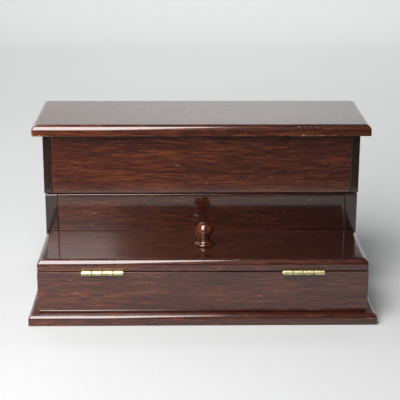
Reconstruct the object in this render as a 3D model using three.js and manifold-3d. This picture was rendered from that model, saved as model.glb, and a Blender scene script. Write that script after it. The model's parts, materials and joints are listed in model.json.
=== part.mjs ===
// A stepped hardwood sewing box: a low front compartment under a flap that opens forward, and a
// taller body under a deep hinged lid, with two lift-out trays above an open well.
// Millimetres, +Z up. X runs along the front, left to right, and -Y is the front. The exported
// group stands on z = 0 with its origin under the middle of its own box.
import * as THREE from "three";
import { mergeVertices } from "three/addons/utils/BufferGeometryUtils.js";
import Module from "manifold-3d";

const wasm = await Module();
wasm.setup();

// ---- driving dimensions -------------------------------------------------------------------

// Case
const caseWidth = 300; // over the two side boards
const stepDepth = 86; // from the front panel's face to the body's face
const bodyDepth = 97; // from the body's face to the back
const stepHeight = 36.1; // the front panel
const bodyHeight = 84; // case floor to the lid seam
const sideThickness = 12;
const panelThickness = 9; // every front and back board
const bottomThickness = 2.5;
const plinthThickness = 10;
const plinthOverhang = 8.6;
const plinthRound = 4;

// Flap and its knob
const flapThickness = 11.2;
const flapRound = 5.5;
const knobHeight = 22;
const knobHeadRadius = 7.9;
const knobNeckRadius = 5.2;
const knobNeckHeight = 5;
const knobFootRadius = 9.3;
const knobFootHeight = 2.4;
const knobAside = 1.7; // to the right of the middle
const spigotRadius = 3.5;
const spigotLength = 8;

// Lid
const lidWallThickness = 8;
const lidWallHeight = 58.5;
const lidProud = 0.8; // how far the lid's walls stand outside the case's
const lidBoardThickness = 10.5;
const lidOverhang = 9.2;
const lidRound = 5.5;
const padThickness = 8;
const padInset = 5; // from the lid's walls to the pad

// Fittings inside the case
const partitionThickness = 6;
const ledgeSize = 6; // square section of the strips that carry the trays
const dividerThickness = 6;
const dividerDrop = 4; // front compartment dividers stop this far below the flap
const centreBayWidth = 86;

// Trays
const trayHeight = 34;
const trayRimDrop = 2; // tray rim below the case's rim
const trayWall = 4;
const trayBottom = 3;
const trayDivider = 4;
const dividerDip = 2; // a tray divider's shoulders below the tray rim
const gripRise = 11; // the grip's top above the tray rim
const gripWidth = 34;

// Butt hinges, all four alike
const hingeLength = 38;
const hingeInset = 40.2; // from the case's side to the hinge's end
const barrelRadius = 2.5;
const pinRadius = 1.05;
const pinProud = 0.4; // of each end of the barrel
const leafThickness = 1.2;
const knuckles = 4;
const screwLength = 8;
const screwRadius = 1.2;
const screwHeadRadius = 2.5;
const screwPoint = 2; // length of the tapered tip
const screwSlot = 0.7; // width of the driver slot, and its depth is the same
const screwSpacing = 22;

// Clearances
const glueLine = 0.1; // between boards that are glued together
const lidSeam = 0.5; // between the lid and the case
const flapSeam = 0.4; // between the flap and the front panel
const flapBackGap = 0.5; // between the flap's back edge and the body
const barrelGap = 0.3; // between a hinge barrel and the wood
const knuckleGap = 0.3; // between neighbouring knuckles
const pinClearance = 0.1; // around the pin
const letInGap = 0.2; // around a leaf, a screw or a spigot in the wood
const leafMargin = 0.6; // wood left behind a leaf
const trayGap = 0.8; // around each tray
const trayRest = 0.2; // between a tray and its ledges
const ease = 0.5; // chamfer on every board's arrises

// ---- levels and planes worked out from them -------------------------------------------------

const halfWidth = caseWidth / 2;
const halfInside = halfWidth - sideThickness;
const floorZ = plinthThickness + bottomThickness;
const stepTop = floorZ + stepHeight;
const flapBottom = stepTop + flapSeam;
const flapTop = flapBottom + flapThickness;
const rimZ = floorZ + bodyHeight;
const lidBottom = rimZ + lidSeam;
const lidWallTop = lidBottom + lidWallHeight;
const lidTop = lidWallTop + lidBoardThickness;
const backY = stepDepth + bodyDepth;
const wellFrontY = stepDepth + panelThickness;
const wellBackY = backY - panelThickness;
const lidHalf = halfWidth + lidProud;
const trayFloorZ = rimZ - trayRimDrop - trayHeight;
const ledgeTop = trayFloorZ - trayRest;
const leafReach = panelThickness - leafMargin; // from the wood's face to the leaf's far edge
const axisOut = barrelRadius + barrelGap; // from the wood's face to the pin

// ---- materials --------------------------------------------------------------------------------

const finish = (color, roughness, metalness = 0) => () =>
  new THREE.MeshStandardMaterial({ color, roughness, metalness });
const mahogany = finish("#4a1f16", 0.28);
const insideWood = finish("#8a5238", 0.6);
const brass = finish("#c9a65a", 0.35, 0.9);
const velvet = finish("#6d1f2c", 0.95);

// ---- shape helpers ----------------------------------------------------------------------------

function toSolid(geometry) {
  const bare = geometry.clone();
  bare.deleteAttribute("normal");
  bare.deleteAttribute("uv");
  const merged = mergeVertices(bare, 1e-4);
  return new wasm.Manifold(new wasm.Mesh({
    numProp: 3,
    vertProperties: new Float32Array(merged.attributes.position.array),
    triVerts: new Uint32Array(merged.index.array),
  }));
}

function toGeometry(solid) {
  const mesh = solid.getMesh();
  const geometry = new THREE.BufferGeometry();
  geometry.setAttribute("position", new THREE.BufferAttribute(mesh.vertProperties, 3));
  geometry.setIndex(new THREE.BufferAttribute(mesh.triVerts, 1));
  geometry.computeVertexNormals();
  return geometry;
}

const cut = (geometry, ...cutters) => toGeometry(
  cutters.reduce((left, cutter) => left.subtract(toSolid(cutter)), toSolid(geometry)));
const join = (geometry, ...others) => toGeometry(
  others.reduce((sum, other) => sum.add(toSolid(other)), toSolid(geometry)));
const common = (geometry, other) => toGeometry(toSolid(geometry).intersect(toSolid(other)));

// A plain box between two corners, for cutters and tongues.
function block(x0, x1, y0, y1, z0, z1) {
  return new THREE.BoxGeometry(x1 - x0, y1 - y0, z1 - z0)
    .translate((x0 + x1) / 2, (y0 + y1) / 2, (z0 + z1) / 2);
}

// A rectangle in plan, with its corners taken off when corner is more than 0.
function easedOutline(x0, x1, y0, y1, corner) {
  const outline = new THREE.Shape();
  if (!corner) {
    return outline.moveTo(x0, y0).lineTo(x1, y0).lineTo(x1, y1).lineTo(x0, y1);
  }
  outline.moveTo(x0 + corner, y0);
  outline.lineTo(x1 - corner, y0);
  outline.lineTo(x1, y0 + corner);
  outline.lineTo(x1, y1 - corner);
  outline.lineTo(x1 - corner, y1);
  outline.lineTo(x0 + corner, y1);
  outline.lineTo(x0, y1 - corner);
  outline.lineTo(x0, y0 + corner);
  outline.closePath();
  return outline;
}

// A board between two corners with every arris eased.
function board(x0, x1, y0, y1, z0, z1) {
  const outline = easedOutline(x0 + ease, x1 - ease, y0 + ease, y1 - ease, ease / 2);
  return new THREE.ExtrudeGeometry(outline, {
    depth: z1 - z0 - 2 * ease,
    bevelThickness: ease,
    bevelSize: ease,
    bevelSegments: 1,
  }).translate(0, 0, z0 + ease);
}

// A slab whose top edge is rounded all round, or on three sides when squareBack is set.
// The rounded rectangle runs down past z0, and the eased prism trims it to the slab's own size.
function roundedSlab(x0, x1, y0, y1, z0, z1, round, squareBack = false) {
  const farY = squareBack ? y1 + 2 * round : y1;
  const outline = easedOutline(x0 + round, x1 - round, y0 + round, farY - round, 0);
  const slab = new THREE.ExtrudeGeometry(outline, {
    depth: z1 - z0,
    bevelThickness: round,
    bevelSize: round,
    bevelSegments: 6,
  }).translate(0, 0, z0 - round);
  const prism = new THREE.ExtrudeGeometry(easedOutline(x0, x1, y0, y1, ease), {
    depth: z1 - z0 + 1,
    bevelEnabled: false,
  }).translate(0, 0, z0);
  return common(slab, prism);
}

// A board of constant thickness whose outline is drawn in the Y-Z plane.
function sideProfile(points, x0, x1) {
  const outline = new THREE.Shape(points.map(([y, z]) => new THREE.Vector2(y, z)));
  return new THREE.ExtrudeGeometry(outline, {
    depth: x1 - x0 - 2 * ease,
    bevelThickness: ease,
    bevelSize: ease,
    bevelOffset: -ease,
    bevelSegments: 1,
  }).rotateX(Math.PI / 2).rotateZ(Math.PI / 2).translate(x0 + ease, 0, 0);
}

// A turned piece from a profile of [radius, height] points, standing on its first point.
function turned(profile, segments) {
  return new THREE.LatheGeometry(
    profile.map(([r, z]) => new THREE.Vector2(r, z)), segments,
  ).rotateX(Math.PI / 2);
}

function arc(centreR, centreZ, radius, fromDeg, toDeg, steps) {
  return Array.from({ length: steps + 1 }, (_, i) => {
    const a = THREE.MathUtils.degToRad(fromDeg + ((toDeg - fromDeg) * i) / steps);
    return [centreR + radius * Math.cos(a), centreZ + radius * Math.sin(a)];
  });
}

const root = new THREE.Group();

function addPiece(name, geometry, material, parent = root) {
  const mesh = new THREE.Mesh(geometry, material());
  mesh.name = name;
  parent.add(mesh);
  return mesh;
}

// ---- butt hinge ---------------------------------------------------------------------------------
// In the hinge's own frame the pin lies along X through the origin, the wood's face is at
// y = axisOut, the wood is behind it, and the two leaves lie either side of z = 0.

const knuckleLength = (hingeLength - (knuckles - 1) * knuckleGap) / knuckles;
const knuckleStart = (i) => -hingeLength / 2 + i * (knuckleLength + knuckleGap);
const screwX = [-screwSpacing / 2, screwSpacing / 2];
const screwY = axisOut + leafReach / 2;

function alongX(radius, x0, x1, segments) {
  return new THREE.CylinderGeometry(radius, radius, x1 - x0, segments)
    .rotateZ(Math.PI / 2).translate((x0 + x1) / 2, 0, 0);
}

function alongZ(bottomRadius, topRadius, z0, z1, x, y) {
  return new THREE.CylinderGeometry(topRadius, bottomRadius, z1 - z0, 16)
    .rotateX(Math.PI / 2).translate(x, y, (z0 + z1) / 2);
}

// The leaf above z = 0 takes the first and third knuckles, the leaf below the others.
function hingeLeaf(seam, upper) {
  const z0 = seam / 2;
  const z1 = z0 + leafThickness;
  const firstKnuckle = upper ? 0 : 1;
  let leaf = block(-hingeLength / 2, hingeLength / 2, axisOut, axisOut + leafReach, z0, z1);
  for (let i = firstKnuckle; i < knuckles; i += 2) {
    const x0 = knuckleStart(i);
    const x1 = x0 + knuckleLength;
    leaf = join(leaf, block(x0, x1, 0, axisOut + 1, z0, z1), alongX(barrelRadius, x0, x1, 20));
  }
  const bore = alongX(pinRadius + pinClearance, -hingeLength, hingeLength, 16);
  const sinks = screwX.map((x) => alongZ(
    screwHeadRadius + pinClearance, screwRadius + pinClearance, z0 - 0.01, z1 + 0.01, x, screwY));
  leaf = cut(leaf, bore, ...sinks);
  return leaf;
}

// A countersunk wood screw driven upwards from z = seam / 2, its slot along X.
function screwShape(seam) {
  const z0 = seam / 2;
  const profile = [
    [0, z0],
    [screwHeadRadius, z0],
    [screwRadius, z0 + leafThickness],
    [screwRadius, z0 + screwLength - screwPoint],
    [0, z0 + screwLength],
  ];
  const slot = block(-2 * screwHeadRadius, 2 * screwHeadRadius, -screwSlot / 2, screwSlot / 2,
    z0 - 1, z0 + screwSlot);
  return cut(turned(profile, 14), slot);
}

// What a board on the upper side of the hinge loses to the leaf and its screws.
function hingeRecess(seam) {
  const z0 = seam / 2;
  const half = hingeLength / 2 + letInGap;
  const pocket = block(-half, half, axisOut - 1, axisOut + leafReach + letInGap, z0 - 1,
    z0 + leafThickness + letInGap);
  const pilots = screwX.map((x) => alongZ(
    screwRadius + letInGap, screwRadius + letInGap, z0, z0 + screwLength + letInGap, x, screwY));
  return join(pocket, ...pilots);
}

// Flips a shape made for the hinge's upper side to its lower side, and keeps its faces outward.
function turnedOver(geometry) {
  const solid = toSolid(geometry).mirror([0, 0, 1]);
  return toGeometry(solid);
}

const hingeX = halfWidth - hingeInset - hingeLength / 2;
const hingeLines = {
  front: { y: -axisOut, z: stepTop + flapSeam / 2, seam: flapSeam, turn: 0 },
  rear: { y: backY + axisOut, z: rimZ + lidSeam / 2, seam: lidSeam, turn: Math.PI },
};

// Recesses of both hinges on one line, for the board above the seam or below it.
function recesses(line, upper) {
  const { y, z, seam, turn } = hingeLines[line];
  return [-hingeX, hingeX].map((x) => {
    const recess = upper ? hingeRecess(seam) : turnedOver(hingeRecess(seam));
    return recess.rotateZ(turn).translate(x, y, z);
  });
}

// ---- case ---------------------------------------------------------------------------------------

addPiece("plinth_board", roundedSlab(
  -halfWidth - plinthOverhang, halfWidth + plinthOverhang,
  -plinthOverhang, backY + plinthOverhang,
  0, plinthThickness - glueLine, plinthRound), mahogany);

addPiece("bottom_board", board(
  -halfWidth, halfWidth, 0, backY, plinthThickness, floorZ - glueLine), mahogany);

addPiece("front_panel", cut(
  board(-halfWidth, halfWidth, 0, panelThickness - glueLine, floorZ, stepTop),
  ...recesses("front", false)), mahogany);

const sideOutline = [
  [panelThickness, floorZ],
  [backY, floorZ],
  [backY, rimZ],
  [stepDepth, rimZ],
  [stepDepth, stepTop],
  [panelThickness, stepTop],
];
for (const [name, x0] of [["left", -halfWidth], ["right", halfInside]]) {
  addPiece(`side_board_${name}`, sideProfile(sideOutline, x0, x0 + sideThickness), mahogany);
}

const betweenSides = halfInside - glueLine;
addPiece("body_front_board", board(
  -betweenSides, betweenSides, stepDepth, wellFrontY - glueLine, floorZ, rimZ), mahogany);
addPiece("back_board", cut(
  board(-betweenSides, betweenSides, wellBackY, backY, floorZ, rimZ),
  ...recesses("rear", false)), mahogany);

for (const [name, y0] of [["front", wellFrontY], ["back", wellBackY - ledgeSize - glueLine]]) {
  addPiece(`tray_ledge_${name}`, board(
    -betweenSides, betweenSides, y0, y0 + ledgeSize, ledgeTop - ledgeSize, ledgeTop), insideWood);
}

const notchDepth = ledgeSize + letInGap;
const notches = [
  [wellFrontY - 1, wellFrontY + notchDepth],
  [wellBackY - notchDepth - glueLine, wellBackY + 1],
].map(([y0, y1]) => block(
  -partitionThickness, partitionThickness, y0, y1, ledgeTop - notchDepth, ledgeTop + 1));
addPiece("well_partition", cut(
  board(-partitionThickness / 2, partitionThickness / 2, wellFrontY + glueLine,
    wellBackY - glueLine, floorZ, ledgeTop),
  ...notches), insideWood);

const dividerX = (centreBayWidth + dividerThickness) / 2;
for (const [name, x] of [["left", -dividerX], ["right", dividerX]]) {
  addPiece(`compartment_divider_${name}`, board(
    x - dividerThickness / 2, x + dividerThickness / 2,
    panelThickness + glueLine, stepDepth - glueLine,
    floorZ, stepTop - dividerDrop), insideWood);
}

// ---- flap and knob --------------------------------------------------------------------------------

const knobY = stepDepth / 2;
const spigotHole = alongZ(spigotRadius + letInGap, spigotRadius + letInGap,
  flapTop - spigotLength - letInGap, flapTop + 1, knobAside, knobY);
addPiece("front_flap", cut(
  roundedSlab(-halfWidth, halfWidth, 0, stepDepth - flapBackGap, flapBottom, flapTop, flapRound,
    true),
  spigotHole, ...recesses("front", true)), mahogany);

// An acorn head on a tapered neck, over a thin foot with a rounded edge.
const footEdge = knobFootHeight / 2;
const knobProfile = [
  [0, -spigotLength],
  [spigotRadius, -spigotLength],
  [spigotRadius, 0],
  [knobFootRadius - footEdge, 0],
  ...arc(knobFootRadius - footEdge, footEdge, footEdge, -60, 75, 5),
  [knobNeckRadius + 1.4, knobFootHeight + 0.4],
  [knobNeckRadius + 0.3, knobFootHeight + 1.2],
  [knobNeckRadius, knobNeckHeight],
  ...arc(0, knobHeight - knobHeadRadius, knobHeadRadius, -28, 84, 9),
  [0, knobHeight],
];
addPiece("knob", turned(knobProfile, 32), mahogany)
  .position.set(knobAside, knobY, flapTop + glueLine);

// ---- lid ------------------------------------------------------------------------------------------

addPiece("lid_board", roundedSlab(
  -lidHalf - lidOverhang, lidHalf + lidOverhang, stepDepth - lidOverhang, backY + lidOverhang,
  lidWallTop + glueLine, lidTop, lidRound), mahogany);
for (const [name, x0] of [["left", -lidHalf], ["right", lidHalf - lidWallThickness]]) {
  addPiece(`lid_side_${name}`, board(
    x0, x0 + lidWallThickness, stepDepth, backY, lidBottom, lidWallTop), mahogany);
}
const betweenLidSides = lidHalf - lidWallThickness - glueLine;
addPiece("lid_front_board", board(
  -betweenLidSides, betweenLidSides, stepDepth, wellFrontY, lidBottom, lidWallTop), mahogany);
addPiece("lid_back_board", cut(
  board(-betweenLidSides, betweenLidSides, wellBackY, backY, lidBottom, lidWallTop),
  ...recesses("rear", true)), mahogany);

const padHalf = betweenLidSides - padInset;
addPiece("lid_pad", turnedOver(roundedSlab(
  -padHalf, padHalf, wellFrontY + padInset, wellBackY - padInset,
  -lidWallTop + letInGap, -lidWallTop + letInGap + padThickness, padThickness / 2)), velvet);

// ---- trays ----------------------------------------------------------------------------------------
// Each tray is built standing at its own origin, centred in X and Y, and placed over its half.

const trayWidth = (2 * halfInside - 3 * trayGap) / 2;
const trayDepth = wellBackY - wellFrontY - 2 * trayGap;
const wallBase = trayBottom + glueLine;

// The divider rises into a grip with round shoulders.
function gripDivider(length) {
  const end = length / 2;
  const grip = gripWidth / 2;
  const low = trayHeight - dividerDip;
  const top = trayHeight + gripRise;
  const round = gripRise / 2;
  const outline = new THREE.Shape();
  outline.moveTo(-end, wallBase);
  outline.lineTo(end, wallBase);
  outline.lineTo(end, low);
  outline.lineTo(grip + round, low);
  outline.quadraticCurveTo(grip, low, grip, low + round);
  outline.lineTo(grip, top - round);
  outline.quadraticCurveTo(grip, top, grip - round, top);
  outline.lineTo(-grip + round, top);
  outline.quadraticCurveTo(-grip, top, -grip, top - round);
  outline.lineTo(-grip, low + round);
  outline.quadraticCurveTo(-grip, low, -grip - round, low);
  outline.lineTo(-end, low);
  outline.closePath();
  return new THREE.ExtrudeGeometry(outline, {
    depth: trayDivider - 2 * ease,
    bevelThickness: ease,
    bevelSize: ease,
    bevelOffset: -ease,
    bevelSegments: 1,
    curveSegments: 5,
  }).rotateX(Math.PI / 2).rotateZ(Math.PI / 2).translate(ease - trayDivider / 2, 0, 0);
}

for (const [side, sign] of [["left", -1], ["right", 1]]) {
  const tray = new THREE.Group();
  tray.position.set(sign * (trayWidth + trayGap) / 2, (wellFrontY + wellBackY) / 2, trayFloorZ);
  root.add(tray);
  const halfW = trayWidth / 2;
  const halfD = trayDepth / 2;
  addPiece(`tray_${side}_bottom`, board(-halfW, halfW, -halfD, halfD, 0, trayBottom),
    insideWood, tray);
  for (const [name, y0] of [["front", -halfD], ["back", halfD - trayWall]]) {
    addPiece(`tray_${side}_${name}`, board(-halfW, halfW, y0, y0 + trayWall, wallBase,
      trayHeight), insideWood, tray);
  }
  for (const [name, x0] of [["outer_end", sign], ["inner_end", -sign]]) {
    const centre = x0 * (halfW - trayWall / 2);
    addPiece(`tray_${side}_${name}`, board(centre - trayWall / 2, centre + trayWall / 2,
      -halfD + trayWall + glueLine, halfD - trayWall - glueLine, wallBase, trayHeight),
    insideWood, tray);
  }
  addPiece(`tray_${side}_divider`, gripDivider(trayDepth - 2 * (trayWall + glueLine)),
    insideWood, tray);
}

// ---- hinges ---------------------------------------------------------------------------------------

for (const [line, { y, z, seam, turn }] of Object.entries(hingeLines)) {
  for (const [side, x] of [["left", -hingeX], ["right", hingeX]]) {
    const name = `${line}_hinge_${side}`;
    const hinge = new THREE.Group();
    hinge.position.set(x, y, z);
    hinge.rotation.z = turn;
    root.add(hinge);
    addPiece(`${name}_upper_leaf`, hingeLeaf(seam, true), brass, hinge);
    addPiece(`${name}_lower_leaf`, turnedOver(hingeLeaf(seam, false)), brass, hinge);
    addPiece(`${name}_pin`, alongX(pinRadius, -hingeLength / 2 - pinProud, hingeLength / 2 + pinProud, 16),
      brass, hinge);
    screwX.forEach((sx, i) => {
      addPiece(`${name}_upper_screw_${i + 1}`, screwShape(seam), brass, hinge)
        .position.set(sx, screwY, 0);
      addPiece(`${name}_lower_screw_${i + 1}`, turnedOver(screwShape(seam)), brass, hinge)
        .position.set(sx, screwY, 0);
    });
  }
}

// The group's origin goes under the middle of the whole box in plan.
const frontY = -plinthOverhang;
const rearY = backY + Math.max(plinthOverhang, lidOverhang);
root.position.y = -(frontY + rearY) / 2;

export default root;
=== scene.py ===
"""Looks of a stepped mahogany sewing box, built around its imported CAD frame."""

import json
import math
import random

import bmesh
import bpy
import numpy as np
from bpy.props import FloatProperty, FloatVectorProperty, IntProperty, PointerProperty
from mathutils import Matrix, Vector

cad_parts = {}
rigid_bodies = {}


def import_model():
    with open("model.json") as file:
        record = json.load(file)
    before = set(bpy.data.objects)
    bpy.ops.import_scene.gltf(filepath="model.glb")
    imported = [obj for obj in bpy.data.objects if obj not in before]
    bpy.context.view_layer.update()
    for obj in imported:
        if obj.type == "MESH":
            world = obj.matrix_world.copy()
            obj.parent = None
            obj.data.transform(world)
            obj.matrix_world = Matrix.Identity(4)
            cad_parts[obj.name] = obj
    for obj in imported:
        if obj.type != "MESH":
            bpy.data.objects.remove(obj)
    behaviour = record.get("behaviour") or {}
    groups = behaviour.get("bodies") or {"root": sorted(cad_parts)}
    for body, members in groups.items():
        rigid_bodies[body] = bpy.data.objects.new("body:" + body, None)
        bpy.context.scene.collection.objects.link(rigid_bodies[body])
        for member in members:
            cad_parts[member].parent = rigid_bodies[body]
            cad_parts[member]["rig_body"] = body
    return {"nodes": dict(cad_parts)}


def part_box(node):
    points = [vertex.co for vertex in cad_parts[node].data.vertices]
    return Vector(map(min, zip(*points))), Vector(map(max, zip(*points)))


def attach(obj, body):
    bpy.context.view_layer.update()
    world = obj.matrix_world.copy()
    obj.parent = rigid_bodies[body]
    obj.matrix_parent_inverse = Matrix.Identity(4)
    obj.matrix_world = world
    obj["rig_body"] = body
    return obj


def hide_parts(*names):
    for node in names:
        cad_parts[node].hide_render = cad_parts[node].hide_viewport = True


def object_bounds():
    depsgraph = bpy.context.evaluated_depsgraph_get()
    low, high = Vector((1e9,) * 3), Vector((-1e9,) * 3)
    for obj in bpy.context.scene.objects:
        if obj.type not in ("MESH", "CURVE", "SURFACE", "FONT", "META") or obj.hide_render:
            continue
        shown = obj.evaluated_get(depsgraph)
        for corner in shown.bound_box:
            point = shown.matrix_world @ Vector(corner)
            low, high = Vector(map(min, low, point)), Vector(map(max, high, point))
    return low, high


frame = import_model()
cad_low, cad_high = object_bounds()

bl_info = {
    "name": "Mahogany Sewing Box",
    "version": (1, 0, 0),
    "blender": (4, 5, 0),
    "location": "3D View > Sidebar > Sewing Box",
    "description": "Boards, knob, butt hinges, trays, linings and lid pad of a stepped sewing box",
    "category": "Object",
}

MM = 0.001
AXIS = {"X": 0, "Y": 1, "Z": 2}

# Depth of stain and painted shade: the stain every board has, how much painted shade deepens
# it from the middle to the right end, away from the light at the left, and the deepest both go.
BASE_STAIN = 0.2
PAINTED_SHADE_SLOPE = 0.37
DEEPEST_STAIN_AND_SHADE = 0.92

# How far some boards stop short, which leaves a dark seam, how far in a rounded edge rubs, and
# how far in fingers thin the stain of a front edge.
SEAM_RELIEF = 0.5 * MM
THUMB_REACH = 6.5 * MM
FINGER_REACH = 4.5 * MM

# The butt hinges, all of one pattern.
HINGES = [(line, side) for line in ("front", "rear") for side in ("left", "right")]
HINGE_LENGTH = 38 * MM
KNUCKLES = 4
KNUCKLE_GAP = 0.3 * MM
KNUCKLE = (HINGE_LENGTH - (KNUCKLES - 1) * KNUCKLE_GAP) / KNUCKLES
BARREL = 2.5 * MM
PIN = 1.05 * MM
LEAF = 1.2 * MM
LEAF_START = 2.8 * MM
TONGUE_START = 1.4 * MM
POCKET_CLEARANCE = 0.2 * MM
POCKET_OVERCUT = 1 * MM
SCREW_HEAD = 2.5 * MM
SCREW_SHANK = 1.2 * MM
SCREW_HOLE = 1.3 * MM
SCREW_LENGTH = 8 * MM
SCREW_SLOT = 0.7 * MM
SCREW_SPACING = 22 * MM
SEAM = {"front": 0.4 * MM, "rear": 0.5 * MM}

# The lid pad: how far it may swell, and the dimple that each button draws into it.
PAD_SWELL = 5.0 * MM
DIMPLE_DEPTH = 3.4 * MM
DIMPLE_REACH = 9 * MM

# The camera: a long lens, a little left of the middle and 17 degrees above it.
LENS = 108.71
CAMERA_PLACE = (-0.02268, -1.11723, 0.42843)
CAMERA_ANGLES = (1.093, 16.906, 0.178)

# The lights: place, aim, width, depth, the setting that holds the power, tint, seen in gloss.
SOFTBOXES = {
    # The key hangs high in front and to the left; its right edge ends the shine along the
    # rounded edges near the middle of the box.
    "key_softbox": (
        (-0.43, -0.8, 1.02), (-0.27, -0.1, 0.1), 0.8, 1.5, "key_power", (1.0, 0.99, 0.985), True
    ),
    # A smaller one high behind and to the left puts the crescent on top of the knob.
    "back_softbox": (
        (-0.60, 0.95, 1.15), (0.0, 0.0, 0.1), 0.5, 0.5, "back_power", (1.0, 1.0, 1.0), True
    ),
    "front_fill": (
        (-0.75, -0.62, 0.62), (0.0, -0.1, 0.1), 0.35, 0.35, "fill_power", (1.0, 0.99, 0.98), False
    ),
    "backdrop_light": (
        (0.25, 0.75, 1.1), (0.25, 1.6, 0.1), 1.4, 0.4, "backdrop_power", (1.0, 1.0, 1.0), False
    ),
    "left_fill": (
        (-1.15, -0.15, 0.95), (0.0, 0.0, 0.0), 0.7, 0.7, "left_power", (0.98, 0.99, 1.0), False
    ),
}


def linear(hex_colour):
    """An sRGB hex colour as linear RGBA."""
    parts = [int(hex_colour[i : i + 2], 16) / 255 for i in (1, 3, 5)]
    return tuple(
        c / 12.92 if c <= 0.04045 else ((c + 0.055) / 1.055) ** 2.4 for c in parts
    ) + (1.0,)


def colour(name, description, hex_colour):
    """A colour property with an alpha channel."""
    return FloatVectorProperty(
        name=name,
        description=description,
        default=linear(hex_colour),
        size=4,
        min=0.0,
        max=1.0,
        subtype="COLOR",
    )


def length(name, description, millimetres):
    """A length property, given in millimetres and kept in metres."""
    return FloatProperty(
        name=name,
        description=description,
        default=millimetres * MM,
        min=0.0,
        precision=5,
        unit="LENGTH",
    )


def power(name, description, watts):
    """The power of a light in watts."""
    return FloatProperty(name=name, description=description, default=watts, min=0.0, unit="POWER")


# ---- settings ------------------------------------------------------------------------------


class SewingBoxFinish(bpy.types.PropertyGroup):
    """Colours and gloss of the box's finishes."""

    wood_dark: colour("Stain, dark streaks", "Pores and dark ribbons of the mahogany", "#180A08")
    wood_mid: colour("Stain, body", "Main tone of the stained mahogany", "#3F190D")
    wood_light: colour("Stain, light streaks", "Light ribbons of the mahogany", "#84431F")
    wood_worn: colour("Worn arris", "Wood showing where the polish has rubbed off", "#C79A78")
    plain_dark: colour("Inside wood, dark", "Dark streaks of the unpolished inside wood", "#6E3B22")
    plain_light: colour("Inside wood, light", "Light tone of the unpolished inside wood", "#B07A4C")
    brass: colour("Brass", "Rolled brass of the hinges", "#CFC59B")
    tarnish: colour("Tarnish", "Brown bloom in patches on the hinges", "#7A5C2A")
    velvet: colour("Velvet", "Cotton velvet of the pad and linings", "#5E1420")
    polish_roughness: FloatProperty(
        name="Polish roughness",
        description="Roughness of the wood under its polish",
        default=0.3,
        min=0.0,
        max=1.0,
        subtype="FACTOR",
    )


class SewingBoxSizes(bpy.types.PropertyGroup):
    """Sizes of details that the frame leaves to the finish."""

    arris: length("Arris", "Radius of the sanded edges of outside boards", 0.7)
    fine_arris: length("Fine arris", "Radius of the sanded edges of tray boards", 0.5)
    thumb: length("Thumb edge", "Radius of the lid's and flap's rounded edge", 5.5)
    plinth_round: length("Plinth edge", "Radius of the plinth's rounded edge", 4.0)
    wear_reach: length("Wear reach", "How far rubbing reaches in from an arris", 2.6)
    nap: length("Lining thickness", "Thickness of the velvet linings", 0.9)
    button: length("Button radius", "Radius of the pad's covered buttons", 4.2)
    knob_segments: IntProperty(
        name="Knob segments", description="Faces round the knob", default=72, min=12, max=256
    )


class SewingBoxSet(bpy.types.PropertyGroup):
    """Lights and floor of the studio set."""

    key_power: power("Key light", "Power of the overhead softbox", 45.5)
    fill_power: power("Fill light", "Power of the small light at the front left", 2.5)
    back_power: power("Back light", "Power of the softbox behind at the left", 4.0)
    left_power: power(
        "Left fill", "Power of the softbox at the left, which casts the shadow", 5.5
    )
    backdrop_power: power("Backdrop light", "Power of the light over the backdrop", 16.0)
    backdrop_glow: FloatProperty(
        name="Backdrop glow",
        description="Light that the upper backdrop adds",
        default=0.28,
        min=0.0,
    )
    paper: colour("Paper", "Floor and backdrop paper", "#A6A7A7")


# ---- node helpers --------------------------------------------------------------------------


def pick(sockets, key):
    """The socket with that identifier, or the enabled one with that name."""
    for s in sockets:
        if s.identifier == key:
            return s
    for s in sockets:
        if s.enabled and s.name == key:
            return s
    raise KeyError(f"no socket {key}; there are {[s.identifier for s in sockets]}")


def add(tree, kind, into=None, out=0, stops=(), **settings):
    """Adds a node with its settings, colour stops and links, and returns one of its outputs, or
    the node itself where out is None."""
    n = tree.nodes.new(kind)
    while stops and len(n.color_ramp.elements) < len(stops):
        n.color_ramp.elements.new(0.5)
    for number, (place, rgba) in enumerate(stops):
        n.color_ramp.elements[number].position = place
        n.color_ramp.elements[number].color = rgba
    for key, value in settings.items():
        setattr(n, key, value)
    for key, value in (into or {}).items():
        target = n.inputs[key] if isinstance(key, int) else pick(n.inputs, key)
        if isinstance(value, bpy.types.NodeSocket):
            tree.links.new(value, target)
        else:
            target.default_value = value
    if out is None:
        return n
    return n.outputs[out] if isinstance(out, int) else pick(n.outputs, out)


def new_material(name):
    """An empty node material and its tree."""
    made = bpy.data.materials.new(name)
    made.use_nodes = True
    made.node_tree.nodes.clear()
    return made, made.node_tree


def object_mm(tree):
    """The place on the object, in millimetres."""
    at = add(tree, "ShaderNodeTexCoord", out="Object")
    return add(
        tree, "ShaderNodeVectorMath", {"Vector": at, "Scale": 1000.0}, "Vector", operation="SCALE"
    )


def noise_of(tree, where, sizes, detail, roughness=0.5, turn=(0.0, 0.0, 0.0), out="Fac"):
    """Noise whose features have those sizes in x, y and z, in the unit of the place given."""
    at = add(
        tree,
        "ShaderNodeMapping",
        {"Vector": where, "Rotation": turn, "Scale": tuple(1 / size for size in sizes)},
    )
    noise = {"Vector": at, "Scale": 1.0, "Detail": detail, "Roughness": roughness}
    return add(tree, "ShaderNodeTexNoise", noise, out)


# ---- materials -----------------------------------------------------------------------------


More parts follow.
